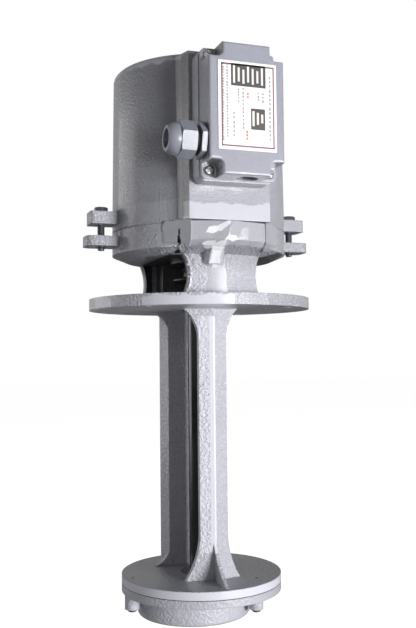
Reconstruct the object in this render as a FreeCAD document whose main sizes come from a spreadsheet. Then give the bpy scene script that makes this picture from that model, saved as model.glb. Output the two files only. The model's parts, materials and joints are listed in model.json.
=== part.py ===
import FreeCAD, Part
import math
import os
import re

import Sketcher
from FreeCAD import Placement, Rotation, Vector

# Immersion coolant pump. Millimetres; origin on the shaft axis at the underside of the
# mounting flange, +Z up to the motor, terminal box towards -Y, clamp lugs along X.

os.makedirs("parts", exist_ok=True)
DOC = FreeCAD.newDocument("ImmersionCoolantPump")
SHEET = DOC.addObject("Spreadsheet::Sheet", "Sizes")

# Driving sizes. A radius, a wall or a height is measured on the finished piece; a level is
# a height above the flange underside.
SIZES = {
    # fits
    "press_gap": 0.02,
    "running_gap": 0.1,
    "thread_gap": 0.05,
    "bolt_gap": 0.3,
    "air_gap": 0.4,
    "screw_end_gap": 1,
    "cut_past": 1,
    # mounting flange
    "flange_radius": 90,
    "flange_thickness": 8.8,
    "flange_shaft_hole": 16,
    "tank_hole_pitch": 80,
    "tank_hole_radius": 4.5,
    # neck with its two arms
    "neck_radius": 60,
    "neck_wall": 8,
    "front_arm_left": 25.2,
    "front_arm_right": 29,
    "rear_arm_half_width": 34,
    "arm_flare": 4,
    # bracket under the motor
    "rim_radius": 71,
    "rim_level": 44.5,
    "web_level": 40,
    "web_thickness": 8,
    "seam_level": 63,
    "register_radius": 66,
    "spigot_height": 4,
    "spigot_wall": 4,
    "seam_chamfer": 0.7,
    "brow_root": 64.6,
    "brow_corner_radius": 76.8,
    "brow_cheek_radius": 76.5,
    "brow_chamfer": 4.2,
    "nose_across": 3,
    "nose_radius": 77.4,
    "nose_half_width": 5,
    "nose_foot_level": 32,
    "nose_foot_rise": 2.8,
    "nose_root": 4,
    "lug_root": 4,
    # clamp lugs and bolts
    "lug_bolt_inset": 10,
    "lower_lug_level": 50,
    "lower_lug_thickness": 8,
    "lower_lug_half_width": 11,
    "lower_lug_overhang": 3.5,
    "lower_lug_corner": 6,
    "upper_lug_level": 67.6,
    "upper_lug_thickness": 10,
    "upper_lug_half_width": 9.5,
    "upper_lug_overhang": 21,
    "upper_lug_corner": 2.5,
    "lug_bolt_thread_radius": 3,
    "lug_bolt_head_width": 10,
    "lug_bolt_head_height": 4,
    "lug_bolt_length": 30.5,
    # legs
    "leg_length": 211.5,
    "front_leg_ridge": 35,
    "front_leg_wall": 4,
    "front_leg_fall": 0.27,
    "front_leg_half_width": 11.5,
    "front_leg_flare": 11,
    "front_leg_top_flare_height": 24,
    "front_leg_foot_flare_height": 37,
    "foot_rib_reach": 61.5,
    "foot_rib_height": 33,
    "foot_rib_thickness": 2.8,
    "foot_rib_curve": 55,
    # riser
    "riser_inner_face": 25,
    "riser_face_half_width": 19.3,
    "riser_half_width": 23.5,
    "riser_shoulder": 37,
    "riser_crown": 14,
    "riser_wall": 4,
    "riser_web_thickness": 6,
    "riser_web_reach": 12.5,
    "riser_foot_web_height": 15,
    "riser_top_web_height": 17,
    "riser_chest_depth": 56,
    "port_level": 26,
    "passage_above_port": 9.7,
    "port_radius": 12.1,
    "port_boss_radius": 16.8,
    "port_face": 66,
    # base disc and casing
    "base_radius": 64.5,
    "base_thickness": 6.5,
    "base_shaft_hole": 16.5,
    "casing_gasket_thickness": 0.5,
    "casing_flange_thickness": 6,
    "casing_ledge": 19,
    "casing_shift_left": 6,
    "casing_shift_back": 2,
    "casing_depth": 19,
    "casing_floor": 4,
    "casing_edge_round": 3,
    "volute_tongue_gap": 1.5,
    "volute_wall": 5.5,
    "suction_radius": 17,
    "casing_gasket_width": 21,
    "casing_screw_inset": 15,
    "casing_rear_screw_inset": 12.5,
    "casing_boss_radius": 5.5,
    "casing_side_screw_inset": 6.1,
    "casing_side_boss_radius": 5.9,
    "casing_boss_height": 11,
    "casing_screw_radius": 2,
    "casing_screw_length": 23.5,
    "casing_screw_head_radius": 3.6,
    "casing_screw_head_height": 2.4,
    # impeller
    "impeller_margin": 6.5,
    "impeller_disc_thickness": 3,
    "impeller_top_gap": 1.5,
    "impeller_floor_gap": 1,
    "impeller_hub_radius": 12,
    "impeller_hub_height": 9,
    "impeller_eye": 14.5,
    "vane_thickness": 2.4,
    "vane_lag": 55,
    "vane_curve": 24,
    "key_width": 5,
    "key_height": 5,
    "key_length": 7,
    "key_start": 1.5,
    "impeller_washer_radius": 10,
    "impeller_washer_thickness": 1.2,
    "impeller_nut_width": 16,
    "impeller_nut_height": 5,
    # shaft
    "column_shaft_radius": 9.5,
    "rotor_shaft_radius": 15,
    "impeller_shaft_radius": 7,
    "shaft_thread_radius": 5,
    "shaft_end_beyond_nut": 0.8,
    "circlip_radius": 15,
    "circlip_thickness": 1.2,
    "circlip_groove_depth": 0.8,
    # bearings
    "lower_bearing_level": 49,
    "lower_bearing_bore": 12.5,
    "lower_bearing_radius": 26,
    "lower_bearing_width": 15,
    "lower_ball_radius": 3.97,
    "upper_bearing_level": 168,
    "upper_bearing_bore": 10,
    "upper_bearing_radius": 23.5,
    "upper_bearing_width": 14,
    "upper_ball_radius": 3.97,
    "race_land": 1.25,
    "race_gap": 0.08,
    "cage_wall": 1.4,
    "cage_height": 10.4,
    "cage_pocket_gap": 0.15,
    "bearing_hub_wall": 7,
    "spring_height": 1.9,
    "spring_thickness": 0.7,
    "spring_inner_radius": 18.5,
    "retainer_thickness": 2.5,
    "retainer_inner_radius": 20,
    "retainer_screw_radius": 2,
    "retainer_screw_length": 10,
    "retainer_head_radius": 3.3,
    "retainer_head_height": 2.4,
    "shoulder_radius": 20,
    "shoulder_height": 4,
    "seal_radius": 17.5,
    "seal_height": 7,
    "seal_wall": 1.2,
    "seal_boss_radius": 23,
    "slinger_radius": 21,
    "slinger_level": 24,
    "slinger_height": 7,
    "slinger_wall": 3,
    # motor
    "housing_seam_radius": 71,
    "housing_top_radius": 69.4,
    "housing_top_level": 192,
    "housing_top_wall": 6,
    "housing_edge_height": 5.5,
    "housing_edge_width": 3,
    "housing_edge_curve": 6,
    "upper_hub_lip": 2,
    "register_relief": 2,
    "stator_radius": 64,
    "stator_level": 96,
    "stator_height": 62,
    "stator_shoulder": 3,
    "rotor_radius": 36,
    "stator_slot_depth": 14,
    "stator_slot_width": 5,
    "winding_inner_radius": 40,
    "winding_outer_radius": 57,
    "winding_height": 15,
    "rotor_ring_inner_radius": 22,
    "rotor_ring_outer_radius": 34,
    "rotor_ring_height": 5,
    "pad_rise": 4,
    "pad_half_width": 32.3,
    "pad_root_half_width": 44,
    "pad_top_level": 189,
    # terminal box
    "box_level": 137.6,
    "box_half_width": 30,
    "box_half_height": 48.8,
    "box_corner": 6,
    "box_draft": 3,
    "box_depth": 12,
    "box_floor": 4,
    "box_wall": 4,
    "box_post": 11,
    "box_gasket_thickness": 1.5,
    "wire_hole_radius": 7,
    "wire_hole_inset": 18.8,
    "box_screw_across": 15,
    "box_screw_inset": 14.8,
    "box_screw_radius": 2.5,
    "box_screw_length": 13,
    "box_screw_head_radius": 4.2,
    "box_screw_head_height": 3,
    "entry_radius": 8.1,
    "entry_depth": 23,
    "gland_inset": 26.8,
    "second_entry_across": 4,
    # lid
    "lid_gasket_thickness": 1,
    "lid_setback": 1.3,
    "lid_thickness": 21.5,
    "lid_skin": 2.6,
    "lid_wall": 3.4,
    "lid_corner": 3,
    "lid_edge_round": 1.4,
    "lid_notch": 10.5,
    "lid_notch_round": 4,
    "lid_ledge": 4,
    "lid_screw_inset": 5.4,
    "lid_screw_radius": 2,
    "lid_screw_length": 13,
    "lid_screw_head_radius": 3.6,
    "lid_screw_head_height": 2.4,
    "nameplate_side_margin": 6.4,
    "nameplate_end_margin": 15.7,
    "nameplate_thickness": 0.5,
    "nameplate_rise": 1.9,
    # terminals
    "board_half_width": 23.9,
    "board_half_height": 11,
    "board_thickness": 6,
    "board_rise": 10,
    "board_rib_width": 2,
    "board_rib_height": 5,
    "board_screw_across": 21.1,
    "board_screw_radius": 1.5,
    "board_screw_head_radius": 2.5,
    "board_screw_head_height": 1.8,
    "board_screw_length": 8.5,
    "stud_pitch": 11,
    "stud_half_spacing": 5,
    "stud_radius": 2,
    "stud_length": 12,
    "link_half_width": 3.4,
    "link_thickness": 0.9,
    "terminal_nut_width": 7,
    "terminal_nut_height": 3.2,
    "earth_screw_across": 17,
    "earth_screw_drop": 17,
    "earth_screw_radius": 2,
    "earth_screw_length": 3.5,
    "earth_screw_head_radius": 4,
    "earth_screw_head_height": 3,
    # cable gland
    "gland_thread_radius": 8,
    "gland_hex_width": 23.4,
    "gland_hex_height": 4,
    "gland_hex_chamfer": 1.1,
    "gland_collar_radius": 9.6,
    "gland_collar_height": 15.5,
    "gland_collar_shown": 3,
    "gland_stub": 9,
    "gland_bore": 6.5,
    "gland_washer_radius": 9.2,
    "gland_washer_thickness": 1,
    "gland_locknut_width": 20,
    "gland_locknut_height": 3.5,
    "gland_nut_width": 23.4,
    "gland_nut_hex_height": 11.5,
    "gland_nut_dome_height": 8.5,
    "gland_nut_dome_radius": 11.4,
    "gland_nut_dome_curve": 9.5,
    "gland_nut_mouth": 6.8,
    "gland_nut_mouth_land": 2.2,
    "gland_seal_radius": 8.4,
    "gland_seal_height": 9,
    "gland_seal_bore": 4.5,
}

# Counts, and the places round the axis, in degrees, where 270 is the front.
TANK_HOLES = 4
STATOR_SLOTS = 12
LOWER_BALLS = 9
UPPER_BALLS = 8
VANES = 6
CASING_SCREWS = (
    ("(base_radius - casing_side_screw_inset)", 182, "casing_side_boss_radius"),
    ("(base_radius - casing_screw_inset)", 311, "casing_boss_radius"),
    ("(base_radius - casing_rear_screw_inset)", 60, "casing_boss_radius"),
)
RETAINER_SCREW_ANGLES = (30, 150, 270)
BROW_ROOT_ANGLES = (239.5, 255, 285, 300.5)
BROW_CORNER_ANGLES = (245.8, 294.2)
BROW_CHEEK_ANGLES = (258.5, 280.5)
VOLUTE_ANGLES = (50, 0, -90, -180, -295)

# Levels and sums that several pieces share.
BASE_TOP = "-leg_length"
BASE_UNDER = "(-leg_length - base_thickness)"
PAD_FACE = "(housing_seam_radius + pad_rise)"
UPPER_LUG_REACH = "(housing_seam_radius + upper_lug_overhang)"
LOWER_LUG_REACH = f"({UPPER_LUG_REACH} + lower_lug_overhang)"
LUG_BOLT_RADIUS = f"({UPPER_LUG_REACH} - lug_bolt_inset)"
CASING_RADIUS = "(base_radius - casing_ledge)"
GASKET_INNER_RADIUS = "(base_radius - casing_gasket_width)"
IMPELLER_RADIUS = f"({CASING_RADIUS} - casing_shift_left - impeller_margin)"
VOLUTE_START = f"({IMPELLER_RADIUS} + volute_tongue_gap)"
VOLUTE_END = f"({CASING_RADIUS} - volute_wall)"
CASING_TOP = f"({BASE_UNDER} - casing_gasket_thickness)"
CASING_FLANGE_UNDER = f"({CASING_TOP} - casing_flange_thickness)"
CASING_UNDER = f"({CASING_FLANGE_UNDER} - casing_depth)"
CASING_SEAT = f"({CASING_FLANGE_UNDER} - casing_boss_height)"
VOLUTE_FLOOR = f"({CASING_UNDER} + casing_floor)"
IMPELLER_TOP = f"({BASE_UNDER} - impeller_top_gap)"
IMPELLER_UNDER = f"({VOLUTE_FLOOR} + impeller_floor_gap)"
HUB_UNDER = f"({IMPELLER_TOP} - impeller_hub_height)"
KEY_TOP = f"({IMPELLER_TOP} - key_start)"
KEY_ROOT = "(impeller_shaft_radius - key_height / 2)"
SHAFT_END = f"({HUB_UNDER} - impeller_washer_thickness - impeller_nut_height - shaft_end_beyond_nut)"
WEB_TOP = "(web_level + web_thickness)"
SEAL_LEVEL = "(lower_bearing_level - shoulder_height - seal_height)"
LOWER_BEARING_TOP = "(lower_bearing_level + lower_bearing_width)"
UPPER_BEARING_TOP = "(upper_bearing_level + upper_bearing_width)"
RETAINER_PITCH = "(lower_bearing_radius + bearing_hub_wall / 2)"
STATOR_TOP = "(stator_level + stator_height)"
HUB_FACE = "(upper_bearing_level - upper_hub_lip)"
HOUSING_CEILING = "(housing_top_level - housing_top_wall)"
BOX_FLOOR_TOP = "(box_gasket_thickness + box_floor)"
BOX_RIM = "(box_gasket_thickness + box_depth)"
BOX_INNER_WIDTH = "(box_half_width - box_wall)"
BOX_INNER_HEIGHT = "(box_half_height - box_wall)"
BOX_SCREW_UP = "(box_half_height - box_screw_inset)"
WIRE_HOLE_HEIGHT = "(box_half_height - wire_hole_inset)"
GLAND_DROP = "(box_half_height - gland_inset)"
LID_HALF_WIDTH = "(box_half_width - lid_setback)"
LID_HALF_HEIGHT = "(box_half_height - lid_setback)"
LID_INNER_WIDTH = f"({LID_HALF_WIDTH} - lid_wall)"
LID_INNER_HEIGHT = f"({LID_HALF_HEIGHT} - lid_wall)"
LID_SCREW_ACROSS = f"({LID_HALF_WIDTH} - lid_screw_inset)"
LID_SCREW_UP = f"({LID_HALF_HEIGHT} - lid_screw_inset)"
BOX_SCREW_BITE = "(box_screw_length - box_floor - box_gasket_thickness + screw_end_gap)"
LID_UNDER = f"({BOX_RIM} + lid_gasket_thickness)"
LID_TOP = f"({LID_UNDER} + lid_thickness)"
BOARD_TOP = f"({BOX_FLOOR_TOP} + board_thickness)"
RISER_ARC = "((riser_half_width^2 + riser_crown^2) / (2 * riser_crown))"
PASSAGE_FACE = "(riser_face_half_width - riser_wall)"
PASSAGE_HALF_WIDTH = "(riser_half_width - riser_wall)"
PASSAGE_CROWN = "(riser_crown - riser_wall)"
PASSAGE_ARC = f"(({PASSAGE_HALF_WIDTH}^2 + {PASSAGE_CROWN}^2) / (2 * {PASSAGE_CROWN}))"


def fill_sheet():
    """One row for each size: its name and its plain number."""
    for row, (name, size) in enumerate(SIZES.items(), start=1):
        SHEET.set(f"A{row}", name)
        SHEET.set(f"B{row}", str(size))
        SHEET.setAlias(f"B{row}", name)
    DOC.recompute()


def formula(text):
    """The same sum, with every size named as a cell of the sheet."""
    return re.sub(r"[a-z_]+", lambda word: "Sizes." + word[0] if word[0] in SIZES else word[0], str(text))


def number(text):
    """What a sum of sizes comes to."""
    return float(SHEET.evalExpression(formula(text)))


def new_body(label, turn=None, place=()):
    """A body with its own label, turned as asked, its place bound to the sheet."""
    body = DOC.addObject("PartDesign::Body", label)
    body.Label = label
    if turn is not None:
        body.Placement = Placement(Vector(0, 0, 0), turn)
    for axis, text in zip("xyz", place):
        body.setExpression(f"Placement.Base.{axis}", formula(text))
    return body


def new_sketch(body, name, role="XY_Plane", lift="0"):
    """A sketch on one of the body's own planes, lifted along the plane's normal."""
    sketch = body.newObject("Sketcher::SketchObject", name)
    plane = [feature for feature in body.Origin.OriginFeatures if feature.Role == role][0]
    sketch.AttachmentSupport = [(plane, "")]
    sketch.MapMode = "FlatFace"
    sketch.setExpression("AttachmentOffset.Base.z", formula(lift))
    return sketch


def tie(sketch, kind, text, *where):
    """A driving constraint whose value follows the sheet."""
    index = sketch.addConstraint(Sketcher.Constraint(kind, *where, number(text)))
    sketch.setExpression(f"Constraints[{index}]", formula(text))


def pin(sketch, geometry, point, across, up):
    """Holds one point of the sketch at its two coordinates."""
    for kind, text, axis in (("DistanceX", across, -2), ("DistanceY", up, -1)):
        if str(text) == "0":
            sketch.addConstraint(Sketcher.Constraint("PointOnObject", geometry, point, axis))
        else:
            tie(sketch, kind, text, -1, 1, geometry, point)


def arc_between(start, end, radius, side):
    """The shorter arc of that radius; side 1 turns left on the way, side -1 turns right."""
    chord = end - start
    half = chord.Length / 2
    left = Vector(-chord.y, chord.x, 0) / chord.Length
    centre = (start + end) / 2 + left * side * math.sqrt(max(radius**2 - half**2, 0))
    first, last = (start, end) if side > 0 else (end, start)
    angles = [math.atan2(spot.y - centre.y, spot.x - centre.x) for spot in (first, last)]
    return Part.ArcOfCircle(Part.Circle(centre, Vector(0, 0, 1), radius), *angles)


def outline(sketch, corners):
    """A closed outline; a corner (across, up, radius, side) is reached by an arc."""
    spots = [Vector(number(corner[0]), number(corner[1]), 0) for corner in corners]
    ends = []
    for index, corner in enumerate(corners):
        start, end = spots[index - 1], spots[index]
        if len(corner) == 2:
            geometry = sketch.addGeometry(Part.LineSegment(start, end), False)
            ends.append((geometry, 1, 2))
        else:
            geometry = sketch.addGeometry(arc_between(start, end, number(corner[2]), corner[3]), False)
            ends.append((geometry, 1, 2) if corner[3] > 0 else (geometry, 2, 1))
    for index, corner in enumerate(corners):
        geometry, _, last = ends[index]
        following, first, _ = ends[(index + 1) % len(corners)]
        sketch.addConstraint(Sketcher.Constraint("Coincident", geometry, last, following, first))
        pin(sketch, geometry, last, corner[0], corner[1])
        if len(corner) == 4:
            tie(sketch, "Radius", corner[2], geometry)


def circle(sketch, radius, across="0", up="0"):
    """A circle with its centre and radius bound to the sheet."""
    centre = Vector(number(across), number(up), 0)
    geometry = sketch.addGeometry(Part.Circle(centre, Vector(0, 0, 1), number(radius)), False)
    pin(sketch, geometry, 3, across, up)
    tie(sketch, "Radius", radius, geometry)


def box_outline(sketch, left, right, low, high):
    outline(sketch, [(left, low), (right, low), (right, high), (left, high)])


def rounded_box(sketch, half_width, half_height, corner):
    """A rectangle about the sketch's origin with round corners."""
    inner_width = f"({half_width} - {corner})"
    inner_height = f"({half_height} - {corner})"
    outline(sketch, [
        (inner_width, f"-{half_height}"), (half_width, f"-{inner_height}", corner, 1),
        (half_width, inner_height), (inner_width, half_height, corner, 1),
        (f"-{inner_width}", half_height), (f"-{half_width}", inner_height, corner, 1),
        (f"-{half_width}", f"-{inner_height}"), (f"-{inner_width}", f"-{half_height}", corner, 1),
    ])


def hexagon(sketch, width, across="0", up="0"):
    """A hexagon of a given width across its flats."""
    corner = f"({width} / 2 / cos(30))"
    outline(sketch, [
        (f"{across} + {corner} * cos({angle})", f"{up} + {corner} * sin({angle})")
        for angle in range(30, 390, 60)
    ])


def extrude(body, sketch, kind, length, forward, middle, draft):
    feature = body.newObject(f"PartDesign::{kind}", sketch.Name + kind)
    feature.Profile = sketch
    feature.setExpression("Length", formula(length))
    feature.Reversed = not forward
    if middle:
        feature.SideType = "Symmetric"
    if draft:
        feature.setExpression("TaperAngle", formula(draft))
    return feature


def pad(body, sketch, length, forward=True, middle=False, draft=None):
    """Adds the sketch's outline along its plane's normal, or against it."""
    return extrude(body, sketch, "Pad", length, forward, middle, draft)


def pocket(body, sketch, length, forward=True, middle=False):
    """Cuts the sketch's outline along its plane's normal, or against it."""
    return extrude(body, sketch, "Pocket", length, not forward, middle, None)


def turn_profile(body, sketch, kind="Revolution"):
    """Turns a sketch about its own upright axis."""
    feature = body.newObject(f"PartDesign::{kind}", sketch.Name + kind)
    feature.Profile = sketch
    feature.ReferenceAxis = (sketch, ["V_Axis"])
    feature.Angle = 360
    return feature


def turned(label, corners, turn=None, place=()):
    """A turned piece from its profile of radius and height."""
    body = new_body(label, turn, place)
    sketch = new_sketch(body, label + "_profile", "XZ_Plane")
    outline(sketch, corners)
    turn_profile(body, sketch)
    return body


def ring(label, inner, outer, low, high):
    """A plain turned ring."""
    return turned(label, [(inner, low), (outer, low), (outer, high), (inner, high)])


def spin(body, feature, count):
    """Repeats a feature round the body's own Z axis."""
    pattern = body.newObject("PartDesign::PolarPattern", feature.Name + "_ring")
    pattern.Originals = [feature]
    pattern.Axis = ([axis for axis in body.Origin.OriginFeatures if axis.Role == "Z_Axis"][0], [""])
    pattern.Angle = 360
    pattern.Occurrences = count
    body.Tip = pattern
    DOC.recompute()
    return pattern


def round_edges(body, radius, chosen):
    """Rounds the edges of the body so far that pass the test."""
    DOC.recompute()
    base = body.Tip
    names = [f"Edge{index}" for index, edge in enumerate(base.Shape.Edges, start=1) if chosen(edge)]
    fillet = body.newObject("PartDesign::Fillet", base.Name + "_round")
    fillet.Base = (base, names)
    fillet.setExpression("Radius", formula(radius))
    DOC.recompute()
    return fillet


def polar(pitch, angle):
    """The two coordinates of a place on a pitch circle."""
    return f"{pitch} * cos({angle})", f"{pitch} * sin({angle})"


def screws(label, spots, seat, shank, length, head, head_height, hexagonal=False, down=True, frame=None):
    """Separate equal screws: heads on the seat, shanks going the other way."""
    body = new_body(label, *(frame or (None, ())))
    heads = new_sketch(body, label + "_heads", lift=seat)
    shanks = new_sketch(body, label + "_shanks", lift=seat)
    for across, up in spots:
        if hexagonal:
            hexagon(heads, head, across, up)
        else:
            circle(heads, head, across, up)
        circle(shanks, shank, across, up)
    pad(body, heads, head_height, forward=down)
    pad(body, shanks, length, forward=not down)
    return body


def corners_of(across, up):
    """The four corners of a rectangle about the origin."""
    return [(f"{sx}{across}", f"{sy}{up}") for sx in ("", "-") for sy in ("", "-")]


# Frames for the pieces that don't stand on the shaft axis: the terminal box looks out of the
# housing pad, and the gland looks out of the cover's left wall, a little turned on its thread.
GLAND_TURN = 15
BOX_FRAME = (Rotation(Vector(1, 0, 0), 90), ("0", f"-{PAD_FACE}", "box_level"))
GLAND_PLACE = (f"-{LID_HALF_WIDTH}", f"-{PAD_FACE} - entry_depth", f"box_level - {GLAND_DROP}")
GLAND_FRAME = (Rotation(Vector(0, 1, 0), -90).multiply(Rotation(Vector(0, 0, 1), GLAND_TURN)), GLAND_PLACE)
LOCKNUT_FRAME = (Rotation(Vector(0, 1, 0), -90).multiply(Rotation(Vector(0, 0, 1), 30)), GLAND_PLACE)


def column_core():
    """Flange, neck, bracket, bearing hub and register of the column, turned in one profile."""
    body = new_body("pump_column")
    sketch = new_sketch(body, "column_profile", "XZ_Plane")
    neck_bore = "(neck_radius - neck_wall)"
    spigot_bore = "(register_radius - spigot_wall)"
    spigot_radius = "(register_radius - running_gap)"
    hub_radius = "(lower_bearing_radius + bearing_hub_wall)"
    outline(sketch, [
        ("flange_shaft_hole", "0"),
        ("flange_radius", "0"),
        ("flange_radius", "flange_thickness"),
        ("neck_radius", "flange_thickness"),
        ("neck_radius", "web_level"),
        ("rim_radius", "rim_level"),
        ("rim_radius", "seam_level - seam_chamfer"),
        ("rim_radius - seam_chamfer", "seam_level"),
        (spigot_radius, "seam_level"),
        (spigot_radius, "seam_level + spigot_height"),
        (spigot_bore, "seam_level + spigot_height"),
        (spigot_bore, WEB_TOP),
        (hub_radius, WEB_TOP),
        (hub_radius, LOWER_BEARING_TOP),
        ("lower_bearing_radius", LOWER_BEARING_TOP),
        ("lower_bearing_radius", "lower_bearing_level"),
        ("shoulder_radius", "lower_bearing_level"),
        ("shoulder_radius", "lower_bearing_level - shoulder_height"),
        ("seal_radius", "lower_bearing_level - shoulder_height"),
        ("seal_radius", SEAL_LEVEL),
        ("seal_boss_radius", SEAL_LEVEL),
        ("seal_boss_radius", "web_level"),
        (neck_bore, "web_level"),
        (neck_bore, "flange_thickness"),
        ("flange_shaft_hole", "flange_thickness"),
    ])
    turn_profile(body, sketch)
    return body


def neck_window(body, name, left, right, front):
    """The pair of side openings that leaves one arm of the neck, waisted at mid height."""
    sketch = new_sketch(body, name, "XZ_Plane")
    height = "(web_level - flange_thickness)"
    curve = f"((({height} / 2)^2 + arm_flare^2) / (2 * arm_flare))"
    for sign, side, half_width in (("", -1, right), ("-", 1, left)):
        edge = f"{sign}({half_width} + arm_flare)"
        outline(sketch, [
            (edge, "flange_thickness"),
            (edge, "web_level", curve, side),
            (f"{sign}flange_radius", "web_level"),
            (f"{sign}flange_radius", "flange_thickness"),
        ])
    pocket(body, sketch, "flange_radius", forward=front)


def front_leg(body):
    """A thin shallow channel whose sides flare into the flange and the base disc, with a foot rib."""
    plan = new_sketch(body, "front_leg_plan", lift=BASE_TOP)
    half = "(front_leg_half_width + front_leg_flare)"
    edge = f"(front_leg_ridge - {half} * front_leg_fall)"
    outline(plan, [
        ("0", "-front_leg_ridge"),
        (half, f"-{edge}"),
        (half, f"-({edge} - front_leg_wall)"),
        ("0", "-(front_leg_ridge - front_leg_wall)"),
        (f"-{half}", f"-({edge} - front_leg_wall)"),
        (f"-{half}", f"-{edge}"),
    ])
    pad(body, plan, "leg_length")
    sides = new_sketch(body, "front_leg_sides", "XZ_Plane")
    clear = f"({half} + cut_past)"
    top_curve = "((front_leg_flare^2 + front_leg_top_flare_height^2) / (2 * front_leg_flare))"
    foot_curve = "((front_leg_flare^2 + front_leg_foot_flare_height^2) / (2 * front_leg_flare))"
    for sign, side in (("", 1), ("-", -1)):
        outline(sides, [
            (f"{sign}front_leg_half_width", "-front_leg_top_flare_height", top_curve, side),
            (f"{sign}front_leg_half_width", f"{BASE_TOP} + front_leg_foot_flare_height"),
            (f"{sign}{half}", BASE_TOP, foot_curve, side),
            (f"{sign}{clear}", BASE_TOP),
            (f"{sign}{clear}", "0"),
            (f"{sign}{half}", "0"),
        ])
    pocket(body, sides, "neck_radius", forward=True)
    rib = new_sketch(body, "foot_rib", "YZ_Plane")
    root = "-(front_leg_ridge - front_leg_wall / 2)"
    outline(rib, [
        (root, BASE_TOP),
        ("-foot_rib_reach", BASE_TOP),
        (root, f"{BASE_TOP} + foot_rib_height", "foot_rib_curve", 1),
    ])
    pad(body, rib, "foot_rib_thickness", middle=True)


def riser_section(sketch, face_half_width, half_width, inner_face, curve):
    """A D with its flat side to the shaft and its sides drafted."""
    outline(sketch, [
        (face_half_width, inner_face),
        (half_width, "riser_shoulder"),
        (f"-{half_width}", "riser_shoulder", curve, 1),
        (f"-{face_half_width}", inner_face),
    ])


def riser_webs(body):
    """The thin webs that spread the riser into the flange and the base disc."""
    lift = "-(riser_inner_face + cut_past)"
    toe = "(riser_half_width + riser_web_reach)"
    spread = "(riser_half_width - riser_face_half_width + riser_web_reach)"
    for name, level, height in (
        ("riser_foot_web", BASE_TOP, "riser_foot_web_height"),
        ("riser_top_web", "0", "-riser_top_web_height"),
    ):
        sketch = new_sketch(body, name, "XZ_Plane", lift)
        curve = f"(({spread}^2 + ({height})^2) / (2 * {spread}))"
        side = -1 if level == BASE_TOP else 1
        outline(sketch, [
            (toe, level),
            ("riser_face_half_width", f"{level} + ({height})", curve, side),
            ("-riser_face_half_width", f"{level} + ({height})"),
            (f"-{toe}", level, curve, side),
        ])
        pad(body, sketch, "riser_web_thickness", forward=False)


def riser(body):
    """The delivery pipe of the column, its chest in the neck and the threaded port at the back."""
    pipe = new_sketch(body, "riser_pipe", lift=BASE_TOP)
    riser_section(pipe, "riser_face_half_width", "riser_half_width", "riser_inner_face", RISER_ARC)
    pad(body, pipe, "leg_length")
    riser_webs(body)
    chest = new_sketch(body, "riser_chest", lift="flange_thickness")
    box_outline(chest, "-riser_half_width", "riser_half_width", "riser_inner_face", "riser_chest_depth")
    pad(body, chest, "web_level - flange_thickness")
    boss = new_sketch(body, "port_boss", "XZ_Plane", "-(neck_radius - neck_wall)")
    circle(boss, "port_boss_radius", up="port_level")
    pad(body, boss, "port_face - neck_radius + neck_wall", forward=False)
    passage = new_sketch(body, "riser_passage", lift=BASE_UNDER)
    passage_face = "(riser_inner_face + riser_wall)"
    riser_section(passage, PASSAGE_FACE, PASSAGE_HALF_WIDTH, passage_face, PASSAGE_ARC)
    pocket(body, passage, f"port_level + passage_above_port - {BASE_UNDER}")
    bore = new_sketch(body, "port_bore", "XZ_Plane", "-port_face")
    circle(bore, "port_radius", up="port_level")
    pocket(body, bore, "port_face - riser_shoulder")


def base_disc(body):
    """The disc that the casing hangs from, open round the shaft."""
    disc = new_sketch(body, "base_disc", lift=BASE_UNDER)
    circle(disc, "base_radius")
    circle(disc, "base_shaft_hole")
    pad(body, disc, "base_thickness")
    holes = new_sketch(body, "base_screw_holes", lift=BASE_UNDER)
    for pitch, angle, _ in CASING_SCREWS:
        circle(holes, "casing_screw_radius + thread_gap", *polar(pitch, angle))
    pocket(body, holes, "base_thickness")


def side_lugs(body, name, level, thickness, half_width, reach, corner, root, hole):
    """A pair of clamp lugs along X with round corners, each with its bolt hole."""
    plan = new_sketch(body, name, lift=level)
    holes = new_sketch(body, name + "_holes", lift=level)
    for sign, side in (("", 1), ("-", -1)):
        outline(plan, [
            (f"{sign}{root}", f"-{half_width}"),
            (f"{sign}({reach} - {corner})", f"-{half_width}"),
            (f"{sign}{reach}", f"-({half_width} - {corner})", corner, side),
            (f"{sign}{reach}", f"({half_width} - {corner})"),
            (f"{sign}({reach} - {corner})", half_width, corner, side),
            (f"{sign}{root}", half_width),
        ])
        circle(holes, hole, f"{sign}{LUG_BOLT_RADIUS}", "0")
    pad(body, plan, thickness)
    pocket(body, holes, thickness)


def brow_plan(sketch, inset):
    """The brow's outline: its root on the rim, its face in four flats."""
    root = [polar("brow_root", angle) for angle in BROW_ROOT_ANGLES]
    corner = f"(brow_corner_radius - {inset})"
    cheek = f"(brow_cheek_radius - {inset})"
    outline(sketch, root + [
        polar(corner, BROW_CORNER_ANGLES[1]),
        polar(cheek, BROW_CHEEK_ANGLES[1]),
        ("-nose_across", f"-(nose_radius - {inset})"),
        polar(cheek, BROW_CHEEK_ANGLES[0]),
        polar(corner, BROW_CORNER_ANGLES[0]),
    ])


def nose_plan(sketch, face, root):
    """The nose's outline: a long flat on its left, a short one on its right."""
    outline(sketch, [
        ("-(nose_across + 2 * nose_half_width)", f"-{root}"),
        ("-(nose_across + 2 * nose_half_width)", f"-({face} - nose_root / 2)"),
        ("-nose_across", f"-{face}"),
        ("-(nose_across - nose_half_width / 2)", f"-{root}"),
    ])


def loft(body, name, start, end):
    """Joins two outlines with flat facets."""
    feature = body.newObject("PartDesign::AdditiveLoft", name)
    feature.Profile = start
    feature.Sections = [end]
    feature.Ruled = True


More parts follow.
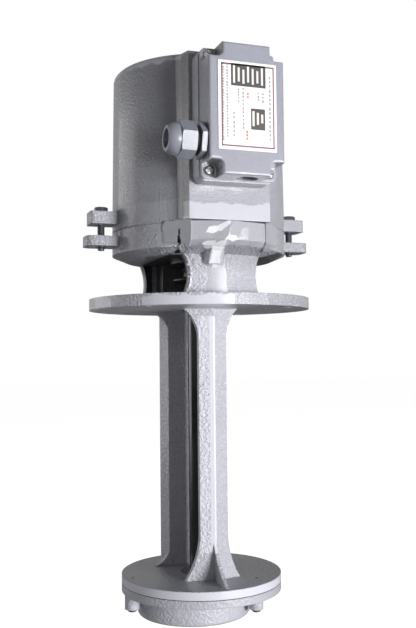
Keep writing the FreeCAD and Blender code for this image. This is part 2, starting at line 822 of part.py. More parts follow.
def rim_nose(body):
    """The faceted brow under the box pad, and the hand-ground nose running down the front arm."""
    brow_under = "(rim_level + brow_chamfer)"
    block = new_sketch(body, "brow_block", lift=brow_under)
    brow_plan(block, "0")
    pad(body, block, f"seam_level - {brow_under}")
    upper = new_sketch(body, "brow_facet_top", lift=brow_under)
    brow_plan(upper, "0")
    lower = new_sketch(body, "brow_facet_foot", lift="rim_level")
    brow_plan(lower, "brow_chamfer")
    loft(body, "brow_facets", upper, lower)
    bridge = new_sketch(body, "nose_top", lift=brow_under)
    nose_plan(bridge, "(nose_radius - nose_root)", "brow_root")
    foot = new_sketch(body, "nose_foot", lift="nose_foot_level")
    nose_plan(foot, "(neck_radius + nose_foot_rise)", "(neck_radius - nose_root / 2)")
    loft(body, "nose_facets", bridge, foot)


def pump_column():
    """One casting: flange, neck arms, bracket, front leg, riser and base disc."""
    body = column_core()
    neck_window(body, "front_windows", "front_arm_left", "front_arm_right", True)
    neck_window(body, "rear_windows", "rear_arm_half_width", "rear_arm_half_width", False)
    base_disc(body)
    front_leg(body)
    riser(body)
    rim_nose(body)
    side_lugs(
        body, "lower_lugs", "lower_lug_level", "lower_lug_thickness", "lower_lug_half_width",
        LOWER_LUG_REACH, "lower_lug_corner", "(rim_radius - lug_root)",
        "lug_bolt_thread_radius + thread_gap",
    )
    tank_holes = new_sketch(body, "tank_holes")
    for index in range(TANK_HOLES):
        angle = 45 + 360 / TANK_HOLES * index
        circle(tank_holes, "tank_hole_radius", *polar("tank_hole_pitch", angle))
    pocket(body, tank_holes, "flange_thickness")
    retainer_holes = new_sketch(body, "retainer_holes", lift=LOWER_BEARING_TOP)
    for angle in RETAINER_SCREW_ANGLES:
        circle(retainer_holes, "retainer_screw_radius + thread_gap", *polar(RETAINER_PITCH, angle))
    pocket(body, retainer_holes, "retainer_screw_length - retainer_thickness + screw_end_gap", forward=False)
    return body


def motor_housing():
    """The motor's bell: closed on top, with the box pad in front and a clamp lug on each side."""
    body = new_body("motor_housing")
    shell = new_sketch(body, "housing_shell", "XZ_Plane")
    outline(shell, [
        ("0", "seam_level"),
        ("housing_seam_radius - seam_chamfer", "seam_level"),
        ("housing_seam_radius", "seam_level + seam_chamfer"),
        ("housing_top_radius", "housing_top_level - housing_edge_height"),
        ("housing_top_radius - housing_edge_width", "housing_top_level", "housing_edge_curve", 1),
        ("0", "housing_top_level"),
    ])
    turn_profile(body, shell)
    front = new_sketch(body, "box_pad", lift="seam_level + seam_chamfer")
    outline(front, [
        ("-pad_root_half_width", "-rotor_radius"),
        ("-pad_half_width", f"-{PAD_FACE}"),
        ("pad_half_width", f"-{PAD_FACE}"),
        ("pad_root_half_width", "-rotor_radius"),
    ])
    pad(body, front, "pad_top_level - seam_level - seam_chamfer")
    side_lugs(
        body, "upper_lugs", "upper_lug_level", "upper_lug_thickness", "upper_lug_half_width",
        UPPER_LUG_REACH, "upper_lug_corner", "(housing_seam_radius - lug_root)",
        "lug_bolt_thread_radius + bolt_gap",
    )
    inside = new_sketch(body, "housing_inside", "XZ_Plane")
    register_top = "(seam_level + spigot_height + register_relief)"
    throat = "(stator_radius - stator_shoulder)"
    hub_radius = "(upper_bearing_radius + bearing_hub_wall)"
    spring_ceiling = f"({UPPER_BEARING_TOP} + spring_height)"
    outline(inside, [
        ("0", "seam_level - cut_past"),
        ("register_radius", "seam_level - cut_past"),
        ("register_radius", register_top),
        ("stator_radius", register_top),
        ("stator_radius", STATOR_TOP),
        (throat, STATOR_TOP),
        (throat, HOUSING_CEILING),
        (hub_radius, HOUSING_CEILING),
        (hub_radius, HUB_FACE),
        ("upper_bearing_radius", HUB_FACE),
        ("upper_bearing_radius", spring_ceiling),
        ("0", spring_ceiling),
    ])
    turn_profile(body, inside, "Groove")
    wires = new_sketch(body, "housing_wire_hole", "XZ_Plane", PAD_FACE)
    circle(wires, "wire_hole_radius", up=f"box_level + {WIRE_HOLE_HEIGHT}")
    pocket(body, wires, f"{PAD_FACE} - {throat} + stator_shoulder", forward=False)
    holes = new_sketch(body, "pad_screw_holes", "XZ_Plane", PAD_FACE)
    for across, up in corners_of("box_screw_across", BOX_SCREW_UP):
        circle(holes, "box_screw_radius + thread_gap", across, f"box_level + {up}".replace("+ -", "- "))
    pocket(body, holes, BOX_SCREW_BITE, forward=False)
    return body


def stator():
    """The laminated core with open slots, and its windings with coil sides in the slots."""
    core = ring(
        "stator_core", "rotor_radius + air_gap", "stator_radius - press_gap", "stator_level", STATOR_TOP,
    )
    slot = new_sketch(core, "stator_slot", lift="stator_level")
    slot_end = "(rotor_radius + air_gap + stator_slot_depth)"
    box_outline(slot, "rotor_radius", slot_end, "-stator_slot_width / 2", "stator_slot_width / 2")
    spin(core, pocket(core, slot, "stator_height"), STATOR_SLOTS)
    windings = new_body("stator_windings")
    profile = new_sketch(windings, "end_turns", "XZ_Plane")
    low = "(stator_level - running_gap)"
    high = f"({STATOR_TOP} + running_gap)"
    for near, far in ((low, f"{low} - winding_height"), (high, f"{high} + winding_height")):
        box_outline(profile, "winding_inner_radius", "winding_outer_radius", near, far)
    turn_profile(windings, profile)
    side = new_sketch(windings, "coil_side", lift="stator_level - winding_height / 2")
    half = "(stator_slot_width / 2 - air_gap)"
    box_outline(side, "winding_inner_radius - air_gap", f"{slot_end} - air_gap", f"-{half}", half)
    spin(windings, pad(windings, side, "stator_height + winding_height"), STATOR_SLOTS)


def rotor_core():
    """The rotor pack with its short-circuit rings."""
    bore = "(rotor_shaft_radius + press_gap)"
    low_ring = "(stator_level - rotor_ring_height)"
    high_ring = f"({STATOR_TOP} + rotor_ring_height)"
    turned("rotor_core", [
        (bore, "stator_level"),
        ("rotor_ring_inner_radius", "stator_level"),
        ("rotor_ring_inner_radius", low_ring),
        ("rotor_ring_outer_radius", low_ring),
        ("rotor_ring_outer_radius", "stator_level"),
        ("rotor_radius", "stator_level"),
        ("rotor_radius", STATOR_TOP),
        ("rotor_ring_outer_radius", STATOR_TOP),
        ("rotor_ring_outer_radius", high_ring),
        ("rotor_ring_inner_radius", high_ring),
        ("rotor_ring_inner_radius", STATOR_TOP),
        (bore, STATOR_TOP),
    ])


def shaft():
    """One stepped shaft from the upper bearing down to the impeller nut, with its keyway."""
    upper = "(upper_bearing_bore - press_gap)"
    lower = "(lower_bearing_bore - press_gap)"
    groove = f"({lower} - circlip_groove_depth)"
    under_circlip = "(lower_bearing_level - circlip_thickness - press_gap)"
    rotor_top = f"({STATOR_TOP} + rotor_ring_height)"
    body = turned("shaft", [
        ("0", UPPER_BEARING_TOP),
        (upper, UPPER_BEARING_TOP),
        (upper, "upper_bearing_level"),
        ("(upper_bearing_bore + rotor_shaft_radius) / 2", "upper_bearing_level"),
        ("(upper_bearing_bore + rotor_shaft_radius) / 2", rotor_top),
        ("rotor_shaft_radius", rotor_top),
        ("rotor_shaft_radius", LOWER_BEARING_TOP),
        (lower, LOWER_BEARING_TOP),
        (lower, "lower_bearing_level"),
        (groove, "lower_bearing_level"),
        (groove, under_circlip),
        (lower, under_circlip),
        (lower, f"{under_circlip} - circlip_thickness"),
        ("column_shaft_radius", f"{under_circlip} - circlip_thickness"),
        ("column_shaft_radius", IMPELLER_TOP),
        ("impeller_shaft_radius", IMPELLER_TOP),
        ("impeller_shaft_radius", HUB_UNDER),
        ("shaft_thread_radius", HUB_UNDER),
        ("shaft_thread_radius", SHAFT_END),
        ("0", SHAFT_END),
    ])
    keyway = new_sketch(body, "shaft_keyway", lift=KEY_TOP)
    box_outline(keyway, KEY_ROOT, "impeller_shaft_radius + cut_past", "-key_width / 2", "key_width / 2")
    pocket(body, keyway, "key_length", forward=False)


def rotor_small_parts():
    """Circlip, slinger, key, washer and nut: what else turns with the shaft."""
    clip_top = "(lower_bearing_level - press_gap / 2)"
    clip = ring(
        "circlip", "lower_bearing_bore - circlip_groove_depth", "circlip_radius",
        f"{clip_top} - circlip_thickness", clip_top,
    )
    mouth = new_sketch(clip, "circlip_mouth", lift="lower_bearing_level")
    box_outline(mouth, "0", "circlip_radius + cut_past", "-key_width / 2", "key_width / 2")
    pocket(clip, mouth, "2 * circlip_thickness", forward=False)
    bore = "(column_shaft_radius + press_gap)"
    sleeve = "(column_shaft_radius + slinger_wall)"
    turned("shaft_slinger", [
        (bore, "slinger_level"),
        ("slinger_radius", "slinger_level"),
        ("slinger_radius", "slinger_level + slinger_height / 5"),
        (sleeve, "slinger_level + slinger_height / 2"),
        (sleeve, "slinger_level + slinger_height"),
        (bore, "slinger_level + slinger_height"),
    ])
    key = new_body("impeller_key")
    plan = new_sketch(key, "key_plan", lift=f"{KEY_TOP} - press_gap")
    half = "(key_width / 2 - press_gap)"
    box_outline(plan, f"{KEY_ROOT} + press_gap", f"{KEY_ROOT} + key_height", f"-{half}", half)
    pad(key, plan, "key_length - 2 * press_gap", forward=False)
    thread = "(shaft_thread_radius + thread_gap)"
    washer_under = f"({HUB_UNDER} - impeller_washer_thickness)"
    ring("impeller_washer", thread, "impeller_washer_radius", washer_under, HUB_UNDER)
    nut = new_body("impeller_nut")
    flats = new_sketch(nut, "impeller_nut_flats", lift=washer_under)
    hexagon(flats, "impeller_nut_width")
    circle(flats, thread)
    pad(nut, flats, "impeller_nut_height", forward=False)


def impeller():
    """A half-open wheel: hub, back disc and vanes that curve back from the turning direction."""
    bore = "(impeller_shaft_radius + press_gap)"
    disc_under = f"({IMPELLER_TOP} - impeller_disc_thickness)"
    body = turned("impeller", [
        (bore, IMPELLER_TOP),
        (IMPELLER_RADIUS, IMPELLER_TOP),
        (IMPELLER_RADIUS, disc_under),
        ("impeller_hub_radius", disc_under),
        ("impeller_hub_radius", HUB_UNDER),
        (bore, HUB_UNDER),
    ])
    keyway = new_sketch(body, "impeller_keyway", lift=IMPELLER_TOP)
    half = "(key_width / 2 + press_gap)"
    box_outline(keyway, "0", f"{KEY_ROOT} + key_height + press_gap", f"-{half}", half)
    pocket(body, keyway, "impeller_hub_height", forward=False)
    vane = new_sketch(body, "impeller_vane", lift=disc_under)
    root_turn = "(vane_thickness / impeller_eye * 270 / pi)"
    tip_turn = f"(vane_lag + vane_thickness / {IMPELLER_RADIUS} * 270 / pi)"
    outline(vane, [
        ("impeller_eye", "0"),
        (f"{IMPELLER_RADIUS} * cos(vane_lag)", f"-{IMPELLER_RADIUS} * sin(vane_lag)", "vane_curve", -1),
        (f"{IMPELLER_RADIUS} * cos({tip_turn})", f"-{IMPELLER_RADIUS} * sin({tip_turn})"),
        (f"impeller_eye * cos({root_turn})", f"-impeller_eye * sin({root_turn})", "vane_curve", 1),
    ])
    spin(body, pad(body, vane, f"{disc_under} - {IMPELLER_UNDER}", forward=False), VANES)


def volute_outline(sketch):
    """A spiral of arcs that widens towards the riser and ends at its tongue."""
    first, last = VOLUTE_ANGLES[0], VOLUTE_ANGLES[-1]
    corners = []
    for index, angle in enumerate(VOLUTE_ANGLES):
        share = (angle - first) / (last - first)
        radius = f"({VOLUTE_START} + ({VOLUTE_END} - {VOLUTE_START}) * {share})"
        spot = polar(radius, angle)
        corners.append(spot if index == 0 else (*spot, radius, -1))
    outline(sketch, corners)


def casing():
    """The cover under the base disc: volute inside, suction hole below, three screw bosses."""
    body = new_body("pump_casing")
    bowl = new_sketch(body, "casing_bowl", lift=CASING_UNDER)
    circle(bowl, CASING_RADIUS, "-casing_shift_left", "casing_shift_back")
    pad(body, bowl, "casing_depth + casing_flange_thickness")
    under = number(CASING_UNDER)
    round_edges(body, "casing_edge_round", lambda edge: edge.BoundBox.ZMax < under + 0.1)
    flange = new_sketch(body, "casing_flange", lift=CASING_FLANGE_UNDER)
    circle(flange, "base_radius")
    pad(body, flange, "casing_flange_thickness")
    bosses = new_sketch(body, "casing_bosses", lift=CASING_SEAT)
    holes = new_sketch(body, "casing_screw_holes", lift=CASING_SEAT)
    for pitch, angle, boss_radius in CASING_SCREWS:
        circle(bosses, boss_radius, *polar(pitch, angle))
        circle(holes, "casing_screw_radius + bolt_gap", *polar(pitch, angle))
    pad(body, bosses, "casing_boss_height")
    pocket(body, holes, "casing_boss_height + casing_flange_thickness")
    volute = new_sketch(body, "casing_volute", lift=CASING_TOP)
    volute_outline(volute)
    pocket(body, volute, f"{CASING_TOP} - {VOLUTE_FLOOR}", forward=False)
    suction = new_sketch(body, "casing_suction", lift=CASING_UNDER)
    circle(suction, "suction_radius")
    pocket(body, suction, "casing_floor")
    gasket = new_body("casing_gasket")
    sheet = new_sketch(gasket, "casing_gasket_sheet", lift=CASING_TOP)
    circle(sheet, "base_radius - running_gap")
    circle(sheet, GASKET_INNER_RADIUS)
    for pitch, angle, _ in CASING_SCREWS:
        circle(sheet, "casing_screw_radius + bolt_gap", *polar(pitch, angle))
    pad(gasket, sheet, "casing_gasket_thickness")


def bearing(prefix, bore, radius, width, ball, level, count):
    """A deep-groove ball bearing: two grooved rings, the balls and a ring cage between them."""
    pitch = f"(({bore} + {radius}) / 2)"
    middle = f"({level} + {width} / 2)"
    top = f"({level} + {width})"
    land = f"({ball} - race_land)"
    groove = f"({ball} + race_gap)"
    groove_half = f"sqrt({groove}^2 - {land}^2)"
    inner_land = f"({pitch} - {land})"
    outer_land = f"({pitch} + {land})"
    outer = f"({radius} - press_gap)"
    turned(f"{prefix}_bearing_inner_ring", [
        (bore, level),
        (inner_land, level),
        (inner_land, f"{middle} - {groove_half}"),
        (inner_land, f"{middle} + {groove_half}", groove, -1),
        (inner_land, top),
        (bore, top),
    ])
    turned(f"{prefix}_bearing_outer_ring", [
        (outer_land, level),
        (outer, level),
        (outer, top),
        (outer_land, top),
        (outer_land, f"{middle} + {groove_half}"),
        (outer_land, f"{middle} - {groove_half}", groove, -1),
    ])
    balls = new_body(f"{prefix}_bearing_balls")
    spin(balls, sphere(balls, prefix + "_ball", ball, pitch, middle), count)
    cage = ring(
        f"{prefix}_bearing_cage", f"{pitch} - cage_wall / 2", f"{pitch} + cage_wall / 2",
        f"{middle} - cage_height / 2", f"{middle} + cage_height / 2",
    )
    hole = new_sketch(cage, prefix + "_cage_hole", "YZ_Plane")
    circle(hole, f"{ball} + cage_pocket_gap", "0", middle)
    spin(cage, pocket(cage, hole, radius), count)


def sphere(body, name, radius, across, up):
    """A ball beside the axis."""
    feature = body.newObject("PartDesign::AdditiveSphere", name)
    plane = [item for item in body.Origin.OriginFeatures if item.Role == "XY_Plane"][0]
    feature.AttachmentSupport = [(plane, "")]
    feature.MapMode = "FlatFace"
    feature.setExpression("Radius", formula(radius))
    feature.setExpression("AttachmentOffset.Base.x", formula(across))
    feature.setExpression("AttachmentOffset.Base.z", formula(up))
    return feature


def bearing_fittings():
    """Retainer and seal of the lower bearing, preload spring of the upper one."""
    retainer = new_body("bearing_retainer")
    plate = new_sketch(retainer, "retainer_plate", lift=LOWER_BEARING_TOP)
    circle(plate, "lower_bearing_radius + bearing_hub_wall")
    circle(plate, "retainer_inner_radius")
    for angle in RETAINER_SCREW_ANGLES:
        circle(plate, "retainer_screw_radius + bolt_gap", *polar(RETAINER_PITCH, angle))
    pad(retainer, plate, "retainer_thickness")
    screws(
        "retainer_screws", [polar(RETAINER_PITCH, angle) for angle in RETAINER_SCREW_ANGLES],
        f"{LOWER_BEARING_TOP} + retainer_thickness", "retainer_screw_radius", "retainer_screw_length",
        "retainer_head_radius", "retainer_head_height",
    )
    outer = "(seal_radius - press_gap)"
    lip = "(column_shaft_radius + running_gap)"
    top = f"({SEAL_LEVEL} + seal_height)"
    turned("shaft_seal", [
        (lip, SEAL_LEVEL),
        (outer, SEAL_LEVEL),
        (outer, top),
        (f"{outer} - seal_wall", top),
        (f"{outer} - seal_wall", f"{SEAL_LEVEL} + seal_wall"),
        (f"{lip} + seal_wall", f"{SEAL_LEVEL} + seal_wall"),
        (f"{lip} + seal_wall", f"{top} - seal_wall"),
        (lip, f"{top} - seal_wall"),
    ])
    rim = "(upper_bearing_radius - running_gap)"
    spring_top = f"({UPPER_BEARING_TOP} + spring_height)"
    turned("preload_spring", [
        (rim, UPPER_BEARING_TOP),
        (rim, f"{UPPER_BEARING_TOP} + spring_thickness"),
        ("spring_inner_radius", spring_top),
        ("spring_inner_radius", f"{spring_top} - spring_thickness"),
    ])


def box_cavity(sketch, wide, high, corner):
    """An inside outline: a rectangle with its corners cut off for the screw posts."""
    outline(sketch, [
        (wide, f"-({high} - {corner})"), (wide, f"({high} - {corner})"),
        (f"({wide} - {corner})", high), (f"-({wide} - {corner})", high),
        (f"-{wide}", f"({high} - {corner})"), (f"-{wide}", f"-({high} - {corner})"),
        (f"-({wide} - {corner})", f"-{high}"), (f"({wide} - {corner})", f"-{high}"),
    ])


def terminal_box():
    """The box's shallow base: drafted walls and four posts for the cover's screws."""
    body = new_body("terminal_box", *BOX_FRAME)
    foot = new_sketch(body, "box_foot", lift="box_gasket_thickness")
    rounded_box(foot, "box_half_width", "box_half_height", "box_corner")
    pad(body, foot, "box_depth", draft="-box_draft")
    cavity = new_sketch(body, "box_cavity", lift=BOX_RIM)
    box_cavity(cavity, BOX_INNER_WIDTH, BOX_INNER_HEIGHT, "box_post")
    pocket(body, cavity, "box_depth - box_floor", forward=False)
    floor = new_sketch(body, "box_floor_holes", lift="box_gasket_thickness")
    circle(floor, "wire_hole_radius", up=WIRE_HOLE_HEIGHT)
    for across, up in corners_of("box_screw_across", BOX_SCREW_UP):
        circle(floor, "box_screw_radius + bolt_gap", across, up)
    for across in ("board_screw_across", "-board_screw_across"):
        circle(floor, "board_screw_radius + thread_gap", across, "board_rise")
    circle(floor, "earth_screw_radius + thread_gap", "earth_screw_across", "-earth_screw_drop")
    pocket(body, floor, "box_floor")
    posts = new_sketch(body, "lid_screw_holes", lift=BOX_RIM)
    for across, up in corners_of(LID_SCREW_ACROSS, LID_SCREW_UP):
        circle(posts, "lid_screw_radius + thread_gap", across, up)
    pocket(body, posts, "lid_screw_length - lid_ledge", forward=False)


def box_seals():
    """The flat gaskets behind the box and under its cover."""
    rear = new_body("box_gasket", *BOX_FRAME)
    sheet = new_sketch(rear, "box_gasket_sheet")
    rounded_box(sheet, "(box_half_width - air_gap)", "(box_half_height - air_gap)", "box_corner")
    circle(sheet, "wire_hole_radius", up=WIRE_HOLE_HEIGHT)
    for across, up in corners_of("box_screw_across", BOX_SCREW_UP):
        circle(sheet, "box_screw_radius + bolt_gap", across, up)
    pad(rear, sheet, "box_gasket_thickness")
    front = new_body("lid_gasket", *BOX_FRAME)
    frame = new_sketch(front, "lid_gasket_sheet", lift=BOX_RIM)
    rounded_box(frame, f"({LID_HALF_WIDTH} - air_gap)", f"({LID_HALF_HEIGHT} - air_gap)", "lid_corner")
    box_cavity(frame, BOX_INNER_WIDTH, BOX_INNER_HEIGHT, "box_post")
    for across, up in corners_of(LID_SCREW_ACROSS, LID_SCREW_UP):
        circle(frame, "lid_screw_radius + bolt_gap", across, up)
    pad(front, frame, "lid_gasket_thickness")


def notch_outline(sketch, sx, sy):
    """A notch at one corner of the cover, round in its own inner corner."""
    inner_x = f"{sx}({LID_HALF_WIDTH} - lid_notch)"
    inner_y = f"{sy}({LID_HALF_HEIGHT} - lid_notch)"
    eased_x = f"{sx}({LID_HALF_WIDTH} - lid_notch + lid_notch_round)"
    eased_y = f"{sy}({LID_HALF_HEIGHT} - lid_notch + lid_notch_round)"
    outer_x = f"{sx}({LID_HALF_WIDTH} + cut_past)"
    outer_y = f"{sy}({LID_HALF_HEIGHT} + cut_past)"
    side = -1 if sx == sy else 1
    outline(sketch, [
        (outer_x, inner_y),
        (eased_x, inner_y),
        (inner_x, eased_y, "lid_notch_round", side),
        (inner_x, outer_y),
        (outer_x, outer_y),
    ])


def lid_cavity(sketch):
    """The cover's inside outline: a rectangle stepped in at each corner, round the notch."""
    step_x = f"({LID_INNER_WIDTH} - lid_notch)"
    step_y = f"({LID_INNER_HEIGHT} - lid_notch)"
    corners = []
    for sx, sy in (("", "-"), ("", ""), ("-", ""), ("-", "-")):
        steps = [
            (f"{sx}{step_x}", f"{sy}{LID_INNER_HEIGHT}"),
            (f"{sx}{step_x}", f"{sy}{step_y}"),
            (f"{sx}{LID_INNER_WIDTH}", f"{sy}{step_y}"),
        ]
        corners += steps if sx != sy else steps[::-1]
    outline(sketch, corners)


def terminal_lid():
    """The deep cover, notched at each corner down to an ear for its screw, with two cable entries."""
    body = new_body("terminal_lid", *BOX_FRAME)
    plate = new_sketch(body, "lid_plate", lift=LID_UNDER)
    rounded_box(plate, LID_HALF_WIDTH, LID_HALF_HEIGHT, "lid_corner")
    pad(body, plate, "lid_thickness")
    notches = new_sketch(body, "lid_notches", lift=LID_TOP)
    for sx in ("", "-"):
        for sy in ("", "-"):
            notch_outline(notches, sx, sy)
    pocket(body, notches, "lid_thickness - lid_ledge", forward=False)
    front = number(LID_TOP)
    round_edges(body, "lid_edge_round", lambda edge: edge.BoundBox.ZMin > front - 0.1)
    cavity = new_sketch(body, "lid_cavity", lift=LID_UNDER)
    lid_cavity(cavity)
    pocket(body, cavity, "lid_thickness - lid_skin")
    holes = new_sketch(body, "lid_holes", lift=LID_UNDER)
    for across, up in corners_of(LID_SCREW_ACROSS, LID_SCREW_UP):
        circle(holes, "lid_screw_radius + bolt_gap", across, up)
    pocket(body, holes, "lid_ledge")
    left_hole = new_sketch(body, "gland_hole", "YZ_Plane", f"-{LID_HALF_WIDTH}")
    circle(left_hole, "entry_radius", f"-{GLAND_DROP}", "entry_depth")
    pocket(body, left_hole, "lid_wall")
    low_hole = new_sketch(body, "second_entry_hole", "XZ_Plane", LID_HALF_HEIGHT)
    circle(low_hole, "entry_radius", "second_entry_across", "entry_depth")
    pocket(body, low_hole, "lid_wall", forward=False)


def nameplate():
    """The bare plate on the cover."""
    frame = (BOX_FRAME[0], ("0", f"-{PAD_FACE} - {LID_TOP}", "box_level + nameplate_rise"))
    body = new_body("nameplate", *frame)
    face = new_sketch(body, "nameplate_face")
    wide = f"({LID_HALF_WIDTH} - nameplate_side_margin)"
    high = f"({LID_HALF_HEIGHT} - nameplate_end_margin)"
    rounded_box(face, wide, high, "nameplate_thickness")
    pad(body, face, "nameplate_thickness")


def terminals():
    """The terminal board with its studs, links and nuts, and the screws inside the box."""
    frame = (BOX_FRAME[0], ("0", f"-{PAD_FACE}", "box_level + board_rise"))
    board = new_body("terminal_board", *frame)
    plate = new_sketch(board, "board_plate", lift=BOX_FLOOR_TOP)
    box_outline(plate, "-board_half_width", "board_half_width", "-board_half_height", "board_half_height")
    for across in ("board_screw_across", "-board_screw_across"):
        circle(plate, "board_screw_radius + bolt_gap", across, "0")
    pad(board, plate, "board_thickness")
    ribs = new_sketch(board, "board_ribs", lift=BOARD_TOP)
    for step in (-1.5, -0.5, 0.5, 1.5):
        middle = f"({step} * stud_pitch)"
        box_outline(
            ribs, f"{middle} - board_rib_width / 2", f"{middle} + board_rib_width / 2",
            "-board_half_height", "board_half_height",
        )
    pad(board, ribs, "board_rib_height")
    rows = ("stud_half_spacing", "-stud_half_spacing")
    spots = [(f"({step} * stud_pitch)", row) for step in (-1, 0, 1) for row in rows]
    studs = new_body("terminal_studs", *frame)
    stud_circles = new_sketch(studs, "stud_circles", lift=f"{BOARD_TOP} - board_thickness / 2")
    sockets = new_sketch(board, "stud_sockets", lift=BOARD_TOP)
    nuts = new_body("terminal_nuts", *frame)
    nut_flats = new_sketch(nuts, "terminal_nut_flats", lift=f"{BOARD_TOP} + link_thickness")
    for across, up in spots:
        circle(stud_circles, "stud_radius - press_gap", across, up)
        circle(sockets, "stud_radius", across, up)
        hexagon(nut_flats, "terminal_nut_width", across, up)
        circle(nut_flats, "stud_radius", across, up)
    pad(studs, stud_circles, "stud_length")
    pocket(board, sockets, "board_thickness / 2", forward=False)
    pad(nuts, nut_flats, "terminal_nut_height")
    links = new_body("terminal_links", *frame)
    link_plan = new_sketch(links, "link_plan", lift=BOARD_TOP)
    reach = "(stud_half_spacing + link_half_width)"
    for step in (-1, 0, 1):
        middle = f"({step} * stud_pitch)"
        left, right = f"{middle} - link_half_width", f"{middle} + link_half_width"
        box_outline(link_plan, left, right, f"-{reach}", reach)
    for across, up in spots:
        circle(link_plan, "stud_radius + bolt_gap / 2", across, up)
    pad(links, link_plan, "link_thickness")
    screws(
        "board_screws", [("board_screw_across", "0"), ("-board_screw_across", "0")], BOARD_TOP,
        "board_screw_radius", "board_screw_length", "board_screw_head_radius", "board_screw_head_height",
        frame=frame,
    )
    screws(
        "earth_screw", [("earth_screw_across", "-earth_screw_drop")], BOX_FLOOR_TOP, "earth_screw_radius",
        "earth_screw_length", "earth_screw_head_radius", "earth_screw_head_height", frame=BOX_FRAME,
    )


def cable_gland():
    """Body, washer, locknut, rubber seal and dome nut of the gland in the box's left wall."""
    hex_top = "(gland_washer_thickness + gland_hex_height)"
    body_top = f"({hex_top} + gland_collar_height)"
    nut_under = f"({hex_top} + gland_collar_shown)"
    seal_top = f"({body_top} + gland_nut_mouth_land)"
    ring_of_gland(
        "gland_washer", "gland_thread_radius + running_gap", "gland_washer_radius", "0",
        "gland_washer_thickness",
    )
    body = new_body("gland_body", *GLAND_FRAME)
    eased_hexagon(body, "gland_flats", "gland_hex_width", "gland_washer_thickness", "gland_hex_height", 1)
    stub = new_sketch(body, "gland_stub", lift="gland_washer_thickness")
    circle(stub, "gland_thread_radius")
    pad(body, stub, "gland_stub", forward=False)
    collar = new_sketch(body, "gland_collar", lift=hex_top)
    circle(collar, "gland_collar_radius")
    pad(body, collar, "gland_collar_height")
    bore = new_sketch(body, "gland_bore", lift="gland_washer_thickness - gland_stub")
    circle(bore, "gland_bore")
    pocket(body, bore, f"{body_top} + gland_stub")
    seat = new_sketch(body, "gland_seal_seat", lift=body_top)
    circle(seat, "gland_seal_radius + press_gap")
    pocket(body, seat, "gland_seal_height - gland_nut_mouth_land", forward=False)
    seal_under = f"({seal_top} - gland_seal_height)"
    ring_of_gland("gland_seal", "gland_seal_bore", "gland_seal_radius", seal_under, seal_top)
    locknut = new_body("gland_locknut", *LOCKNUT_FRAME)
    locknut_flats = new_sketch(locknut, "locknut_flats", lift="-lid_wall")
    hexagon(locknut_flats, "gland_locknut_width")
    circle(locknut_flats, "gland_thread_radius + thread_gap")
    pad(locknut, locknut_flats, "gland_locknut_height", forward=False)
    gland_nut(nut_under, seal_top)


def eased_hexagon(body, name, width, low, height, end):
    """A hexagonal prism whose corners are turned off at one end or, with end 0, at both."""
    flats = new_sketch(body, name, lift=low)
    hexagon(flats, width)
    pad(body, flats, height)
    turning = new_sketch(body, name + "_chamfer", "XZ_Plane")
    corner = f"({width} / 2 / cos(30))"
    rim = f"({corner} - gland_hex_chamfer)"
    clear = f"({corner} + cut_past)"
    high = f"({low} + {height})"
    fall = "(gland_hex_chamfer / 2)"
    for level, inward in ((high, f"({high} - {fall})"), (low, f"({low} + {fall})")):
        if level == high or end == 0:
            outline(turning, [(rim, level), (corner, inward), (clear, inward), (clear, level)])
    turn_profile(body, turning, "Groove")


def ring_of_gland(label, inner, outer, low, high):
    """A plain ring on the gland's axis."""
    return turned(label, [(inner, low), (outer, low), (outer, high), (inner, high)], *GLAND_FRAME)


def gland_nut(under, seal_top):
    """The gland's dome nut: hexagon, dome and a mouth for the cable."""
    nut = new_body("gland_nut", *GLAND_FRAME)
    eased_hexagon(nut, "gland_nut_flats", "gland_nut_width", under, "gland_nut_hex_height", 0)
    dome = new_sketch(nut, "gland_nut_dome", "XZ_Plane")
    hex_top = f"({under} + gland_nut_hex_height)"
    land = "(gland_nut_mouth + gland_nut_mouth_land)"
    outline(dome, [
        ("0", hex_top),
        ("gland_nut_dome_radius", hex_top),
        (land, f"{hex_top} + gland_nut_dome_height", "gland_nut_dome_curve", 1),
        ("0", f"{hex_top} + gland_nut_dome_height"),
    ])
    turn_profile(nut, dome)
    thread = new_sketch(nut, "gland_nut_thread", lift=under)
    circle(thread, "gland_collar_radius + thread_gap")
    pocket(nut, thread, f"{seal_top} - {under}")
    mouth = new_sketch(nut, "gland_nut_mouth", lift=under)
    circle(mouth, "gland_nut_mouth")
    pocket(nut, mouth, "gland_nut_hex_height + gland_nut_dome_height")


def outside_screws():
    """Housing bolts, casing screws, and the screws of the box and its lid."""
    screws(
        "housing_bolts", [(LUG_BOLT_RADIUS, "0"), (f"-{LUG_BOLT_RADIUS}", "0")],
        "upper_lug_level + upper_lug_thickness", "lug_bolt_thread_radius", "lug_bolt_length",
        "lug_bolt_head_width", "lug_bolt_head_height", hexagonal=True,
    )
    screws(
        "casing_screws", [polar(pitch, angle) for pitch, angle, _ in CASING_SCREWS], CASING_SEAT,
        "casing_screw_radius", "casing_screw_length", "casing_screw_head_radius", "casing_screw_head_height",
        down=False,
    )
    screws(
        "box_screws", corners_of("box_screw_across", BOX_SCREW_UP), BOX_FLOOR_TOP, "box_screw_radius",
        "box_screw_length", "box_screw_head_radius", "box_screw_head_height", frame=BOX_FRAME,
    )
    screws(
        "lid_screws", corners_of(LID_SCREW_ACROSS, LID_SCREW_UP), f"{LID_UNDER} + lid_ledge",
        "lid_screw_radius", "lid_screw_length", "lid_screw_head_radius", "lid_screw_head_height",
        frame=BOX_FRAME,
    )


